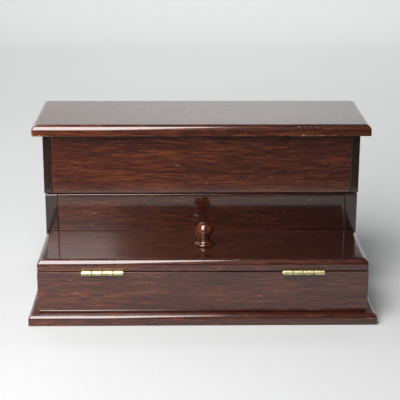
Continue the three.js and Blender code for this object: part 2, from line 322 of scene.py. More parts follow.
def wood(name, tones, gloss, contrast=1.0):
    """Straight-grained mahogany. The board's own attributes say which way its grain runs, where
    its ends are and where its arrises rub. Sizes below are millimetres of real wood."""
    made, t = new_material(name)
    dark, mid, light, worn = tones
    grain, end, wear, stain = (
        add(t, "ShaderNodeAttribute", out=out, attribute_type="GEOMETRY", attribute_name=label)
        for label, out in (("grain", "Vector"), ("end", "Fac"), ("wear", "Fac"), ("stain", "Fac"))
    )
    mm = add(
        t, "ShaderNodeVectorMath", {"Vector": grain, "Scale": 1000.0}, "Vector", operation="SCALE"
    )
    # The fibres wander about 2 mm over a hand's width, as in a ribbon-cut board.
    drift = noise_of(t, mm, (90, 45, 45), 1.0, out="Color")
    sway = add(
        t,
        "ShaderNodeVectorMath",
        {0: drift, 1: (0.0, 3.5, 3.5), 2: mm},
        "Vector",
        operation="MULTIPLY_ADD",
    )

    # Four sizes of grain, each drawn out along the board: along, across, detail, roughness.
    # Fibres are 0.3 mm wide and open pores 0.2 mm; both are drawn wider, so that they show.
    bands, ribbons, fibres, pores = (
        noise_of(t, sway, (along, across, across), detail, roughness)
        for along, across, detail, roughness in (
            (170, 21, 2.0, 0.5),  # broad ribbons of colour
            (58, 3.4, 3.0, 0.6),  # the stripe of interlocked grain
            (18, 0.75, 2.0, 0.6),  # fibres
            (5.5, 0.7, 1.0, 0.5),  # open pores
        )
    )

    figure = 0.0
    for layer, weight in ((bands, 0.24), (ribbons, 0.26), (fibres, 0.58)):
        figure = add(
            t, "ShaderNodeMath", {0: layer, 1: weight, 2: figure}, operation="MULTIPLY_ADD"
        )
    spread = 0.215 / contrast
    tone = add(
        t,
        "ShaderNodeValToRGB",
        {"Fac": figure},
        stops=[(0.54 - spread, dark), (0.545, mid), (0.56 + spread, light)],
    )
    open_pore = add(
        t,
        "ShaderNodeMapRange",
        {"Value": pores, "From Min": 0.58, "From Max": 0.70, "To Min": 0.0, "To Max": 0.7},
        "Result",
    )
    # End grain drinks more stain, so it is darker.
    end_share = add(t, "ShaderNodeMath", {0: end, 1: 0.85}, operation="MULTIPLY")
    # Rubbing shows as broken flecks along the arris, each a few millimetres long.
    flecks = noise_of(t, mm, (2.6, 0.9, 0.9), 3.0, 0.7)
    patches = noise_of(t, mm, (34, 30, 30), 2.0)
    rub = 0.0
    for part, weight in ((wear, 0.42), (flecks, 0.62), (patches, 0.42)):
        rub = add(t, "ShaderNodeMath", {0: part, 1: weight, 2: rub}, operation="MULTIPLY_ADD")
    rubbed = add(
        t,
        "ShaderNodeMapRange",
        {"Value": rub, "From Min": 0.96, "From Max": 1.08, "To Min": 0.0, "To Max": 0.7},
        "Result",
    )
    # Fine scratches cross the grain at a slant. A real one is 0.1 mm wide; here it is 0.4 mm.
    scratch = noise_of(t, mm, (9, 0.42, 0.42), 0.0, turn=(0.5, 0.4, 0.55))
    scratched = add(
        t,
        "ShaderNodeMapRange",
        {"Value": scratch, "From Min": 0.83, "From Max": 0.88, "To Min": 0.0, "To Max": 0.45},
        "Result",
    )
    # Boards took the stain unevenly: each has its own depth of tone. That depth also holds
    # painted shade: deeper towards the right end, and on the body's front board under the lid.
    for share, over in (
        (open_pore, dark),
        (stain, dark),
        (end_share, dark),
        (rubbed, worn),
        (scratched, worn),
    ):
        tone = add(
            t,
            "ShaderNodeMix",
            {"Factor_Float": share, "A_Color": tone, "B_Color": over},
            "Result_Color",
            data_type="RGBA",
        )

    rough = add(
        t,
        "ShaderNodeMapRange",
        {
            "Value": fibres,
            "From Min": 0.3,
            "From Max": 0.7,
            "To Min": gloss["roughness"] - 0.05,
            "To Max": gloss["roughness"] + 0.08,
        },
        "Result",
    )
    rough = add(t, "ShaderNodeMath", {0: rubbed, 1: 0.35, 2: rough}, operation="MULTIPLY_ADD")
    height = add(t, "ShaderNodeMath", {0: open_pore, 1: -0.8, 2: fibres}, operation="MULTIPLY_ADD")
    grain_bump = add(
        t,
        "ShaderNodeBump",
        {"Height": height, "Strength": gloss["bump"], "Distance": 0.06 * MM},
    )
    # A hand-rubbed surface is never quite flat: swells 25 mm across, a few hundredths deep.
    swell = noise_of(t, mm, (38, 17, 17), 2.0)
    film_bump = add(
        t,
        "ShaderNodeBump",
        {"Height": swell, "Strength": 1.0, "Distance": gloss["swell"] * MM},
    )
    surface = add(
        t,
        "ShaderNodeBsdfPrincipled",
        {
            "Base Color": tone,
            "Roughness": rough,
            "IOR": 1.5,
            "Specular IOR Level": gloss["under"],
            "Normal": grain_bump,
            "Coat Weight": gloss["coat"],
            "Coat Roughness": gloss["coat_roughness"],
            "Coat IOR": gloss["coat_ior"],
            "Coat Normal": film_bump,
        },
    )
    add(t, "ShaderNodeOutputMaterial", {"Surface": surface}, out=None)
    return made


def brass_material(finish):
    """Rolled brass hinge, lightly tarnished: pale yellow metal with fine lengthwise draw lines
    and brown bloom, softly glossy."""
    made, t = new_material("rolled_brass")
    mm = object_mm(t)
    blotch = add(
        t, "ShaderNodeTexNoise", {"Vector": mm, "Scale": 1 / 2.4, "Detail": 3.0}, "Fac"
    )
    bloom = add(
        t,
        "ShaderNodeMapRange",
        {"Value": blotch, "From Min": 0.44, "From Max": 0.74, "To Min": 0.0, "To Max": 0.75},
        "Result",
    )
    tone = add(
        t,
        "ShaderNodeMix",
        {"Factor_Float": bloom, "A_Color": tuple(finish.brass), "B_Color": tuple(finish.tarnish)},
        "Result_Color",
        data_type="RGBA",
    )
    # Draw lines run along the leaf, about four to a millimetre.
    lines = noise_of(t, mm, (7, 0.25, 0.25), 1.0)
    rough = add(
        t,
        "ShaderNodeMapRange",
        {"Value": blotch, "From Min": 0.3, "From Max": 0.75, "To Min": 0.27, "To Max": 0.5},
        "Result",
    )
    bump = add(
        t, "ShaderNodeBump", {"Height": lines, "Strength": 0.35, "Distance": 0.03 * MM}
    )
    surface = add(
        t,
        "ShaderNodeBsdfPrincipled",
        {"Base Color": tone, "Metallic": 1.0, "Roughness": rough, "Normal": bump},
    )
    add(t, "ShaderNodeOutputMaterial", {"Surface": surface}, out=None)
    return made


def velvet_material(finish):
    """Cotton velvet, cut pile: deep matt red whose pile leans in patches, with a soft sheen at
    glancing angles."""
    made, t = new_material("cotton_velvet")
    mm = object_mm(t)
    leaning = add(t, "ShaderNodeTexNoise", {"Vector": mm, "Scale": 1 / 14, "Detail": 3.0}, "Fac")
    # The pile is 0.2 mm thick; it is drawn at 0.7 mm so that it shows.
    pile = add(t, "ShaderNodeTexNoise", {"Vector": mm, "Scale": 1 / 0.7, "Detail": 2.0}, "Fac")
    mixed = add(t, "ShaderNodeMath", {0: leaning, 1: 0.6}, operation="MULTIPLY")
    mixed = add(t, "ShaderNodeMath", {0: pile, 1: 0.4, 2: mixed}, operation="MULTIPLY_ADD")
    base = Vector(finish.velvet[:3])
    tone = add(
        t,
        "ShaderNodeValToRGB",
        {"Fac": mixed},
        stops=[
            (0.35, (*(base * 0.45), 1.0)),
            (0.52, (*base, 1.0)),
            (0.68, (*(base * 1.7), 1.0)),
        ],
    )
    rough = add(
        t,
        "ShaderNodeMapRange",
        {"Value": leaning, "From Min": 0.3, "From Max": 0.7, "To Min": 0.8, "To Max": 1.0},
        "Result",
    )
    bump = add(t, "ShaderNodeBump", {"Height": pile, "Strength": 0.6, "Distance": 0.25 * MM})
    surface = add(
        t,
        "ShaderNodeBsdfPrincipled",
        {
            "Base Color": tone,
            "Roughness": rough,
            "Specular IOR Level": 0.2,
            "Sheen Weight": 0.6,
            "Sheen Roughness": 0.35,
            "Sheen Tint": (*(base * 3.0), 1.0),
            "Normal": bump,
        },
    )
    add(t, "ShaderNodeOutputMaterial", {"Surface": surface}, out=None)
    return made


def finish_of(name):
    """The material of that finish, made the first time it is asked for."""
    if name in bpy.data.materials:
        return bpy.data.materials[name]
    f = bpy.context.scene.sewing_box_finish
    if name == "french_polished_mahogany":
        # Stained mahogany, French polished: warm dark wood seen through a clear glossy film.
        tones = [tuple(f.wood_dark), tuple(f.wood_mid), tuple(f.wood_light), tuple(f.wood_worn)]
        gloss = {
            "roughness": f.polish_roughness,
            "coat": 1.0,
            "coat_roughness": 0.09,
            "under": 0.12,
            "coat_ior": 1.58,
            "bump": 0.35,
            "swell": 0.035,
        }
        return wood(name, tones, gloss)
    if name == "waxed_mahogany":
        # The same timber planed and waxed but not stained: paler, satin and open-pored.
        tones = [
            tuple(f.plain_dark),
            tuple(0.5 * (a + b) for a, b in zip(f.plain_dark, f.plain_light)),
            tuple(f.plain_light),
            tuple(f.plain_light),
        ]
        gloss = {
            "roughness": 0.55,
            "coat": 0.12,
            "coat_roughness": 0.35,
            "under": 0.4,
            "coat_ior": 1.45,
            "bump": 0.6,
            "swell": 0.01,
        }
        return wood(name, tones, gloss, contrast=0.8)
    if name == "rolled_brass":
        return brass_material(f)
    if name == "cotton_velvet":
        return velvet_material(f)
    raise KeyError(name)


# ---- mesh helpers --------------------------------------------------------------------------


def mesh_from(bm, name):
    """The bmesh as a mesh of that name. The bmesh is freed."""
    mesh = bpy.data.meshes.new(name)
    bm.to_mesh(mesh)
    bm.free()
    return mesh


def placed(name, data):
    """A new object with that data, linked into the scene."""
    obj = bpy.data.objects.new(name, data)
    bpy.context.scene.collection.objects.link(obj)
    return obj


def add_block(bm, low, high):
    """Adds a box between two corners to a bmesh."""
    for v in bmesh.ops.create_cube(bm, size=1.0)["verts"]:
        v.co = Vector((a + b) / 2 + (b - a) * k for a, b, k in zip(low, high, v.co))


def arc(across, along, radius, start, stop, steps):
    """Points of an arc about a centre, from one angle to another in degrees."""
    turns = [math.radians(start + (stop - start) * k / steps) for k in range(steps + 1)]
    return [(across + radius * math.cos(a), along + radius * math.sin(a)) for a in turns]


def body_of(node):
    """The name of the body that a CAD node rides on."""
    return frame["nodes"][node]["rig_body"]


def loft(loops, caps=(None, None), corners=()):
    """A closed mesh through loops of equal length, bottom to top, each counter-clockwise seen
    from above. Each cap is a smaller loop inside the end loop: corners says which of its points
    each point of the end loop goes to. A cap of None leaves its end open."""
    bm = bmesh.new()
    rows = [[bm.verts.new(p) for p in loop] for loop in loops]
    n = len(rows[0])
    for low, high in zip(rows, rows[1:]):
        for i in range(n):
            j = (i + 1) % n
            bm.faces.new((low[i], low[j], high[j], high[i]))
    for cap, ring, upwards in zip(caps, (rows[0], rows[-1]), (False, True)):
        if cap is None:
            continue
        inner = [bm.verts.new(p) for p in cap]
        for i in range(n):
            j = (i + 1) % n
            a, b = corners[i], corners[j]
            face = [ring[i], ring[j], inner[b]]
            if a != b:
                face.append(inner[a])
            bm.faces.new(face if upwards else face[::-1])
        bm.faces.new(inner if upwards else inner[::-1])
    bm.normal_update()
    return bm


def rounded_inset(height, top, radius):
    """How far a quarter-round edge of that radius has come in at a height below top."""
    rise = height - (top - radius)
    if radius <= 0 or rise <= 0:
        return 0.0
    return radius - math.sqrt(max(radius * radius - min(rise, radius) ** 2, 0.0))


def plan_loop(x0, x1, y0, y1, corner, reach, steps=3):
    """A rounded rectangle in plan, with an extra point at reach from each corner."""
    points = []
    # Each corner's centre, where its arc starts, and the ways back along the edge before it
    # and on along the edge after it.
    corners = [
        (x1 - corner, y0 + corner, -90, (-1, 0), (0, 1)),
        (x1 - corner, y1 - corner, 0, (0, -1), (-1, 0)),
        (x0 + corner, y1 - corner, 90, (1, 0), (0, -1)),
        (x0 + corner, y0 + corner, 180, (0, 1), (1, 0)),
    ]
    for cx, cy, start, before, after in corners:
        first = math.radians(start)
        last = math.radians(start + 90)
        a = (cx + corner * math.cos(first), cy + corner * math.sin(first))
        b = (cx + corner * math.cos(last), cy + corner * math.sin(last))
        points.append((a[0] + before[0] * reach, a[1] + before[1] * reach))
        for i in range(steps + 1):
            angle = first + (last - first) * i / steps
            points.append((cx + corner * math.cos(angle), cy + corner * math.sin(angle)))
        points.append((b[0] + after[0] * reach, b[1] + after[1] * reach))
    return points


def slab(low, high, arris, thumb=0.0, eased_back=0.0, reach=2.6 * MM):
    """A board standing on z, its arrises sanded round, with a rounded top edge where thumb is
    set: all round, or on three sides with a smaller radius eased_back at the back."""
    size = high - low
    reach = min(reach, min(size) * 0.3)
    side = max(thumb, arris)
    back = eased_back or side
    levels = set()
    for i in range(4):
        levels.add(low.z + arris * (1 - math.cos(math.radians(30 * i))))
    if size.z > 2 * arris + 2.2 * reach and thumb <= 0:
        levels.update((low.z + arris + reach, high.z - arris - reach))
    steps = 10 if thumb else 3
    for i in range(steps + 1):
        levels.add(high.z - side * (1 - math.sin(math.radians(90 * i / steps))))
    if eased_back:
        for i in range(6):
            levels.add(high.z - eased_back * (1 - math.sin(math.radians(18 * i))))
    ordered = []
    for z in sorted(levels):
        if not ordered or z - ordered[-1] > 0.02 * MM:
            ordered.append(z)
    ordered[-1] = high.z
    loops = []
    for z in ordered:
        under = rounded_inset(-z, -low.z, arris)
        at_side = max(under, rounded_inset(z, high.z, side))
        at_back = max(under, rounded_inset(z, high.z, back))
        corner = max(arris, 0.25 * thumb)
        plan = plan_loop(
            low.x + at_side,
            high.x - at_side,
            low.y + at_side,
            high.y - at_back,
            corner,
            reach,
        )
        loops.append([(x, y, z) for x, y in plan])
    # Each cap has a margin, so that rubbing can fade in from the arris.
    corner = max(arris, 0.25 * thumb) + reach
    caps = []
    for z, at_side, at_back in ((low.z, arris, arris), (high.z, side, back)):
        x0, x1 = low.x + at_side + corner, high.x - at_side - corner
        y0, y1 = low.y + at_side + corner, high.y - at_back - corner
        caps.append([(x1, y0, z), (x1, y1, z), (x0, y1, z), (x0, y0, z)])
    per_corner = len(loops[0]) // 4
    return loft(loops, caps, [i // per_corner for i in range(len(loops[0]))])


def prism(outline, x0, x1, arris, reach=2.4 * MM):
    """A board along x whose outline is drawn in y and z, counter-clockwise seen from +x."""
    points = []
    corners = []
    inner = []
    count = len(outline)
    margin = min(reach, (x1 - x0) * 0.3)
    for i, (y, z) in enumerate(outline):
        p = Vector((y, z))
        before = p - Vector(outline[i - 1])
        after = Vector(outline[(i + 1) % count]) - p
        turn = before.x * after.y - before.y * after.x
        a, b = before.normalized(), after.normalized()
        n0, n1 = Vector((a.y, -a.x)), Vector((b.y, -b.x))
        bend = math.acos(max(-1.0, min(1.0, a.dot(b))))
        if turn > 0 and bend > 1.0:
            radius = 1.6 * arris
            centre = p - (n0 + n1) * radius
            for k in range(4):
                angle = k / 3
                n = n0 * math.cos(angle * math.pi / 2) + n1 * math.sin(angle * math.pi / 2)
                n.normalize()
                points.append((centre + n * radius, n))
                corners.append(i)
            inner.append(p - (n0 + n1) * (1.6 * arris + margin))
        else:
            n = (n0 + n1).normalized()
            n /= max(n.dot(n0), 0.3)
            points.append((p, n))
            corners.append(i)
            inner.append(p - n * (arris + margin))
    loops = []
    for i in range(4):
        angle = math.radians(30 * i)
        inset = arris * (1 - math.sin(angle))
        loops.append((x0 + arris * (1 - math.cos(angle)), inset))
    loops += [(x1 - (x - x0), inset) for x, inset in reversed(loops)]
    rings = [[(x, *(p - n * inset)) for p, n in points] for x, inset in loops]
    return loft(rings, [[(x, *p) for p in inner] for x in (x0, x1)], corners)


def shade(mesh, angle=40):
    """Smooth faces with sharp edges past that angle."""
    for p in mesh.polygons:
        p.use_smooth = True
    mesh.set_sharp_from_angle(angle=math.radians(angle))


def paint(mesh, axis, seed, low, high, reach, stain=0.0, handled=0.0):
    """Writes the wood's attributes: grain, its own coordinates with x along the fibres, end,
    1 on end grain, wear, 1 on an arris and 0 at reach from it, and stain, the board's depth of
    tone plus a painted shade that deepens to the right, less by handled on a front edge that
    fingers have rubbed."""
    count = len(mesh.vertices)
    co = np.empty(count * 3)
    mesh.vertices.foreach_get("co", co)
    co = co.reshape(-1, 3)
    # Painted shade: the stain is deeper towards the right end of the box, for the light that
    # falls off away from the key at the left.
    depth = mesh.attributes.new("stain", "FLOAT", "POINT")
    deepness = stain + BASE_STAIN + PAINTED_SHADE_SLOPE * co[:, 0] / cad_high.x
    deepness -= handled * np.clip(1 - (co[:, 1] - low.y) / FINGER_REACH, 0, 1)
    deepness = np.clip(deepness, 0.0, DEEPEST_STAIN_AND_SHADE)
    depth.data.foreach_set("value", deepness.astype(np.float32))
    k = AXIS[axis]
    draw = random.Random(seed)
    shift = np.array([draw.uniform(-3, 3), draw.uniform(-0.9, 0.9), draw.uniform(-0.9, 0.9)])
    own = co[:, [k, (k + 1) % 3, (k + 2) % 3]] + shift
    grain = mesh.attributes.new("grain", "FLOAT_VECTOR", "POINT")
    grain.data.foreach_set("vector", own.astype(np.float32).ravel())
    gaps = np.concatenate([co - np.array(low), np.array(high) - co], axis=1)
    second = np.sort(np.abs(gaps), axis=1)[:, 1]
    wear = np.clip(1 - second / reach, 0, 1)
    rubbed = mesh.attributes.new("wear", "FLOAT", "POINT")
    rubbed.data.foreach_set("value", wear.astype(np.float32))
    normals = np.empty(len(mesh.polygons) * 3)
    mesh.polygons.foreach_get("normal", normals)
    facing = np.abs(normals.reshape(-1, 3)[:, k]) ** 3
    totals = np.empty(len(mesh.polygons), int)
    mesh.polygons.foreach_get("loop_total", totals)
    end = mesh.attributes.new("end", "FLOAT", "CORNER")
    end.data.foreach_set("value", np.repeat(facing, totals).astype(np.float32))


def show(name, mesh, body, finish, nodes=()):
    """Links a finished mesh as a piece of the box."""
    mesh.materials.clear()
    mesh.materials.append(finish_of(finish))
    obj = placed(name, mesh)
    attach(obj, body)
    if nodes:
        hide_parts(*nodes)
    return obj


def evaluated_mesh(obj, name):
    """The object's mesh with its modifiers applied. The object is removed."""
    graph = bpy.context.evaluated_depsgraph_get()
    graph.update()
    mesh = bpy.data.meshes.new_from_object(obj.evaluated_get(graph), depsgraph=graph)
    mesh.name = name
    bpy.data.objects.remove(obj)
    return mesh


def weighted(mesh, name):
    """The mesh with normals weighted by face area, so that large faces shade flat."""
    shade(mesh)
    obj = placed(name + "_draft", mesh)
    level = obj.modifiers.new("even_faces", "WEIGHTED_NORMAL")
    level.keep_sharp = True
    level.weight = 100
    return evaluated_mesh(obj, name)


def cut_pockets(mesh, pockets, name):
    """Cuts boxes out of a board, each as a pair of corners."""
    bm = bmesh.new()
    for low, high in pockets:
        add_block(bm, low, high)
    tool_mesh = mesh_from(bm, name + "_tool")
    tool = placed(name + "_tool", tool_mesh)
    obj = placed(name + "_draft", mesh)
    cut = obj.modifiers.new("pockets", "BOOLEAN")
    cut.operation = "DIFFERENCE"
    cut.solver = "EXACT"
    cut.object = tool
    made = evaluated_mesh(obj, name)
    bpy.data.objects.remove(tool)
    return made


def hang_board(
    node,
    bm,
    grain_axis,
    seed,
    finish="french_polished_mahogany",
    pockets=(),
    reach=None,
    stain=0.0,
    handled=0.0,
):
    """Turns a board's bmesh into the piece that stands for its CAD node."""
    name = node + "_wood"
    low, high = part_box(node)
    mesh = mesh_from(bm, name)
    if pockets:
        mesh = cut_pockets(mesh, pockets, name)
    mesh = weighted(mesh, name)
    sizes = bpy.context.scene.sewing_box_sizes
    paint(mesh, grain_axis, seed, low, high, reach or sizes.wear_reach, stain, handled)
    return show(name, mesh, body_of(node), finish, [node])


def hang_slab(node, grain_axis, seed, arris, short=0.0, **extra):
    """A straight board with eased arrises. Its underside stops short of its CAD solid's."""
    low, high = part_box(node)
    low.z += short
    hang_board(node, slab(low, high, arris), grain_axis, seed, **extra)


def tree_group(name, *numbers):
    """A geometry node group with a geometry input and output, a material and named lengths."""
    t = bpy.data.node_groups.new(name, "GeometryNodeTree")
    t.interface.new_socket("Geometry", in_out="INPUT", socket_type="NodeSocketGeometry")
    t.interface.new_socket("Geometry", in_out="OUTPUT", socket_type="NodeSocketGeometry")
    t.interface.new_socket("Material", in_out="INPUT", socket_type="NodeSocketMaterial")
    for label in numbers:
        t.interface.new_socket(label, in_out="INPUT", socket_type="NodeSocketFloat")
    given = add(t, "NodeGroupInput", out=None)
    return t, given


def close_tree(t, given, instance, rotation=(0.0, 0.0, 0.0)):
    """Ends a tree: the instance at each point, made real and given the tree's material."""
    copies = add(
        t,
        "GeometryNodeInstanceOnPoints",
        {"Points": given.outputs["Geometry"], "Instance": instance, "Rotation": rotation},
        "Instances",
    )
    whole = add(t, "GeometryNodeRealizeInstances", {"Geometry": copies}, "Geometry")
    done = add(
        t,
        "GeometryNodeSetMaterial",
        {"Geometry": whole, "Material": given.outputs["Material"]},
        "Geometry",
    )
    add(t, "NodeGroupOutput", {"Geometry": done}, out=None)
    return t


def grown(tree, points, name, finish, values, layers=()):
    """Runs a node tree on points, which carry the layers of (label, values), and returns the
    mesh that it makes."""
    base = bpy.data.meshes.new(name + "_points")
    base.from_pydata([tuple(p) for p in points], [], [])
    for label, numbers in layers:
        layer = base.attributes.new(label, "FLOAT", "POINT")
        layer.data.foreach_set("value", np.array(numbers, np.float32))
    obj = placed(name + "_draft", base)
    grow = obj.modifiers.new("grow", "NODES")
    grow.node_group = tree
    inputs = {**values, "Material": finish_of(finish)}
    for item in tree.interface.items_tree:
        if item.item_type == "SOCKET" and item.in_out == "INPUT" and item.name in inputs:
            grow[item.identifier] = inputs[item.name]
    return evaluated_mesh(obj, name)


# ---- pieces --------------------------------------------------------------------------------


def leaf_pocket(line, side, level):
    """The space let into a board for a hinge leaf: its box without the barrel, a little wider,
    open to the front and through the board's edge."""
    low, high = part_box(f"{line}_hinge_{side}_{level}_leaf")
    pin_low, pin_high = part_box(f"{line}_hinge_{side}_pin")
    axis = (pin_low + pin_high) / 2
    far = high.y + POCKET_CLEARANCE if line == "front" else low.y - POCKET_CLEARANCE
    up = 1 if level == "upper" else -1
    face = axis.z + up * SEAM[line] / 2
    z0, z1 = sorted((face - up * POCKET_OVERCUT, face + up * (LEAF + POCKET_CLEARANCE)))
    y0, y1 = sorted((axis.y, far))
    return (
        Vector((low.x - POCKET_CLEARANCE, y0, z0)),
        Vector((high.x + POCKET_CLEARANCE, y1, z1)),
    )


def pockets_for(line, level):
    """The pockets of both hinges of a line, above or below its seam."""
    return [leaf_pocket(line, side, level) for side in ("left", "right")]


class SEWINGBOX_OT_case(bpy.types.Operator):
    """Builds the case: plinth, bottom, front panel, stepped sides, body front and back"""

    bl_idname = "sewing_box.case"
    bl_label = "Case"

    def execute(self, context):
        s = context.scene.sewing_box_sizes
        low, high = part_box("plinth_board")
        hang_board(
            "plinth_board",
            slab(low, high, 0.5 * MM, thumb=s.plinth_round),
            "X",
            11,
            reach=4.0 * MM,
            stain=0.1,
        )
        hang_slab("bottom_board", "X", 12, 1.1 * MM)
        lower = pockets_for("front", "lower")
        hang_slab("front_panel", "X", 13, 0.25 * MM, pockets=lower, reach=0.7 * MM)
        # Painted shade: this board is stained deeper for the shade under the lid and the flap.
        hang_slab("body_front_board", "X", 14, s.arris, stain=0.45)
        hang_slab("back_board", "X", 15, s.arris, pockets=pockets_for("rear", "lower"))
        step_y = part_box("body_front_board")[0].y
        step_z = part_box("front_panel")[1].z
        for seed, side in ((16, "left"), (17, "right")):
            node = f"side_board_{side}"
            low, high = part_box(node)
            outline = [
                (low.y, low.z),
                (high.y, low.z),
                (high.y, high.z),
                (step_y, high.z),
                (step_y, step_z),
                (low.y, step_z),
            ]
            hang_board(node, prism(outline, low.x, high.x, s.arris), "Y", seed, stain=0.35)
        return {"FINISHED"}


class SEWINGBOX_OT_inside(bpy.types.Operator):
    """Builds the unpolished boards inside the case: dividers, partition and tray ledges"""

    bl_idname = "sewing_box.inside"
    bl_label = "Inside Boards"

    def execute(self, context):
        s = context.scene.sewing_box_sizes
        plain = "waxed_mahogany"
        for node, axis, seed in (
            ("tray_ledge_front", "X", 21),
            ("tray_ledge_back", "X", 22),
            ("compartment_divider_left", "Y", 23),
            ("compartment_divider_right", "Y", 24),
        ):
            hang_slab(node, axis, seed, s.fine_arris, finish=plain)
        low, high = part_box("well_partition")
        gap = 0.2 * MM
        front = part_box("tray_ledge_front")
        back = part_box("tray_ledge_back")
        notch_z = front[0].z - gap
        outline = [
            (low.y, low.z),
            (high.y, low.z),
            (high.y, notch_z),
            (back[0].y - gap, notch_z),
            (back[0].y - gap, high.z),
            (front[1].y + gap, high.z),
            (front[1].y + gap, notch_z),
            (low.y, notch_z),
        ]
        bm = prism(outline, low.x, high.x, s.fine_arris)
        hang_board("well_partition", bm, "Y", 25, plain)
        return {"FINISHED"}


class SEWINGBOX_OT_trays(bpy.types.Operator):
    """Builds the two lift-out trays, each with a divider that rises into a grip"""

    bl_idname = "sewing_box.trays"
    bl_label = "Trays"

    def execute(self, context):
        s = context.scene.sewing_box_sizes
        plain = "waxed_mahogany"
        grip_half, shoulder_drop, bend = 17 * MM, 2 * MM, 5.5 * MM
        for number, side in enumerate(("left", "right")):
            seed = 30 + 10 * number
            parts = (("bottom", "X"), ("front", "X"), ("back", "X"))
            parts += (("outer_end", "Y"), ("inner_end", "Y"))
            for i, (part, axis) in enumerate(parts):
                hang_slab(f"tray_{side}_{part}", axis, seed + i, s.fine_arris, finish=plain)
            node = f"tray_{side}_divider"
            low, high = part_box(node)
            middle = (low.y + high.y) / 2
            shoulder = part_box(f"tray_{side}_front")[1].z - shoulder_drop
            right = middle + grip_half
            left = middle - grip_half
            outline = [(low.y, low.z), (high.y, low.z), (high.y, shoulder)]
            outline += arc(right + bend, shoulder + bend, bend, 270, 180, 8)
            outline += arc(right - bend, high.z - bend, bend, 0, 90, 8)
            outline += arc(left + bend, high.z - bend, bend, 90, 180, 8)
            outline += arc(left - bend, shoulder + bend, bend, 0, -90, 8)
            outline += [(low.y, shoulder)]
            hang_board(node, prism(outline, low.x, high.x, 0.9 * MM), "Y", seed + 5, plain)
        return {"FINISHED"}


class SEWINGBOX_OT_flap(bpy.types.Operator):
    """Builds the front flap with its rounded edge"""

    bl_idname = "sewing_box.flap"
    bl_label = "Front Flap"

    def execute(self, context):
        s = context.scene.sewing_box_sizes
        low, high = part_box("front_flap")
        # The board stops short of its space below and behind, which leaves a dark seam there.
        low.z += SEAM_RELIEF
        high.y -= SEAM_RELIEF
        hang_board(
            "front_flap",
            slab(low, high, 0.6 * MM, thumb=s.thumb, eased_back=0.8 * MM),
            "X",
            18,
            pockets=pockets_for("front", "upper"),
            reach=THUMB_REACH,
            stain=0.5,
            handled=0.4,
        )
        return {"FINISHED"}


class SEWINGBOX_OT_knob(bpy.types.Operator):
    """Turns the acorn knob that lifts the flap"""

    bl_idname = "sewing_box.knob"
    bl_label = "Knob"

    def execute(self, context):
        s = context.scene.sewing_box_sizes
        low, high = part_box("knob")
        flap_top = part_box("front_flap")[1].z
        base = flap_top + 0.1 * MM
        tall = high.z - base
        foot = (high.x - low.x) / 2
        head, neck, foot_high = 7.9 * MM, 5.2 * MM, 2.4 * MM
        edge = foot_high / 2
        profile = [(foot - edge * 1.6, 0.0)]
        profile += arc(foot - edge, edge, edge, -60, 80, 9)
        profile += [(neck + 2.2 * MM, foot_high - 0.02 * MM)]
        profile += [(neck + 1.2 * MM, foot_high + 0.3 * MM)]
        profile += [(neck + 0.5 * MM, foot_high + 0.9 * MM)]
        profile += [(neck + 0.12 * MM, foot_high + 1.7 * MM)]
        profile += [(neck, 5.0 * MM), (neck + 0.25 * MM, 6.6 * MM)]
        profile += [(neck + 0.85 * MM, 8.3 * MM)]
        profile += arc(0, tall - head, head, -32, 87, 20)
        count = s.knob_segments
        centre = Vector(((low.x + high.x) / 2, (low.y + high.y) / 2))
        loops = []
        for r, z in profile:
            ring = []
            for i in range(count):
                a = 2 * math.pi * i / count
                ring.append((centre.x + r * math.cos(a), centre.y + r * math.sin(a), base + z))
            loops.append(ring)
        bm = loft(loops)
        rim_low = [v for v in bm.verts if abs(v.co.z - base) < 1e-6]
        rim_high = [v for v in bm.verts if v.co.z > high.z - 0.02 * MM]
        bmesh.ops.contextual_create(bm, geom=rim_low)
        bmesh.ops.contextual_create(bm, geom=rim_high)
        bmesh.ops.recalc_face_normals(bm, faces=bm.faces)
        mesh = mesh_from(bm, "knob_wood")
        shade(mesh, 50)
        paint(mesh, "Z", 19, low, high, 0.3 * MM, stain=-0.2)
        show("knob_wood", mesh, body_of("knob"), "french_polished_mahogany", ["knob"])
        return {"FINISHED"}


class SEWINGBOX_OT_lid(bpy.types.Operator):
    """Builds the deep lid: top board with its rounded edge, and four walls"""

    bl_idname = "sewing_box.lid"
    bl_label = "Lid"

    def execute(self, context):
        s = context.scene.sewing_box_sizes
        low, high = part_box("lid_board")
        hang_board(
            "lid_board",
            slab(low, high, s.arris, thumb=s.thumb),
            "X",
            1,
            reach=THUMB_REACH,
            stain=0.3,
            handled=0.32,
        )
        # The front and side walls stop short of the case, which leaves a dark seam there.
        hang_slab("lid_front_board", "X", 2, 0.8 * MM, SEAM_RELIEF)
        hang_slab("lid_back_board", "X", 3, s.arris, pockets=pockets_for("rear", "upper"))
        for seed, side in ((4, "left"), (5, "right")):
            hang_slab(f"lid_side_{side}", "Y", seed, 0.8 * MM, SEAM_RELIEF, stain=0.4)
        return {"FINISHED"}


# ---- hinges --------------------------------------------------------------------------------


def hinge_frame(line, side):
    """The middle of a hinge's pin, and +1 or -1 for the way from it to the wood."""
    low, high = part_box(f"{line}_hinge_{side}_pin")
    return (low + high) / 2, 1 if line == "front" else -1


def hinge_screws(line, side):
    """The middle of each screw head's face on the pin's level, before its seam is added."""
    centre, _ = hinge_frame(line, side)
    low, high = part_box(f"{line}_hinge_{side}_upper_screw_1")
    y = (low.y + high.y) / 2
    return [Vector((centre.x + k * SCREW_SPACING / 2, y, centre.z)) for k in (-1, 1)]


def leaves_of(body):
    """(line, side, +1 above the seam or -1 below it) of each leaf on a body."""
    found = []
    for line, side in HINGES:
        for name, up in (("upper", 1), ("lower", -1)):
            if body_of(f"{line}_hinge_{side}_{name}_leaf") == body:
                found.append((line, side, up))
    return found


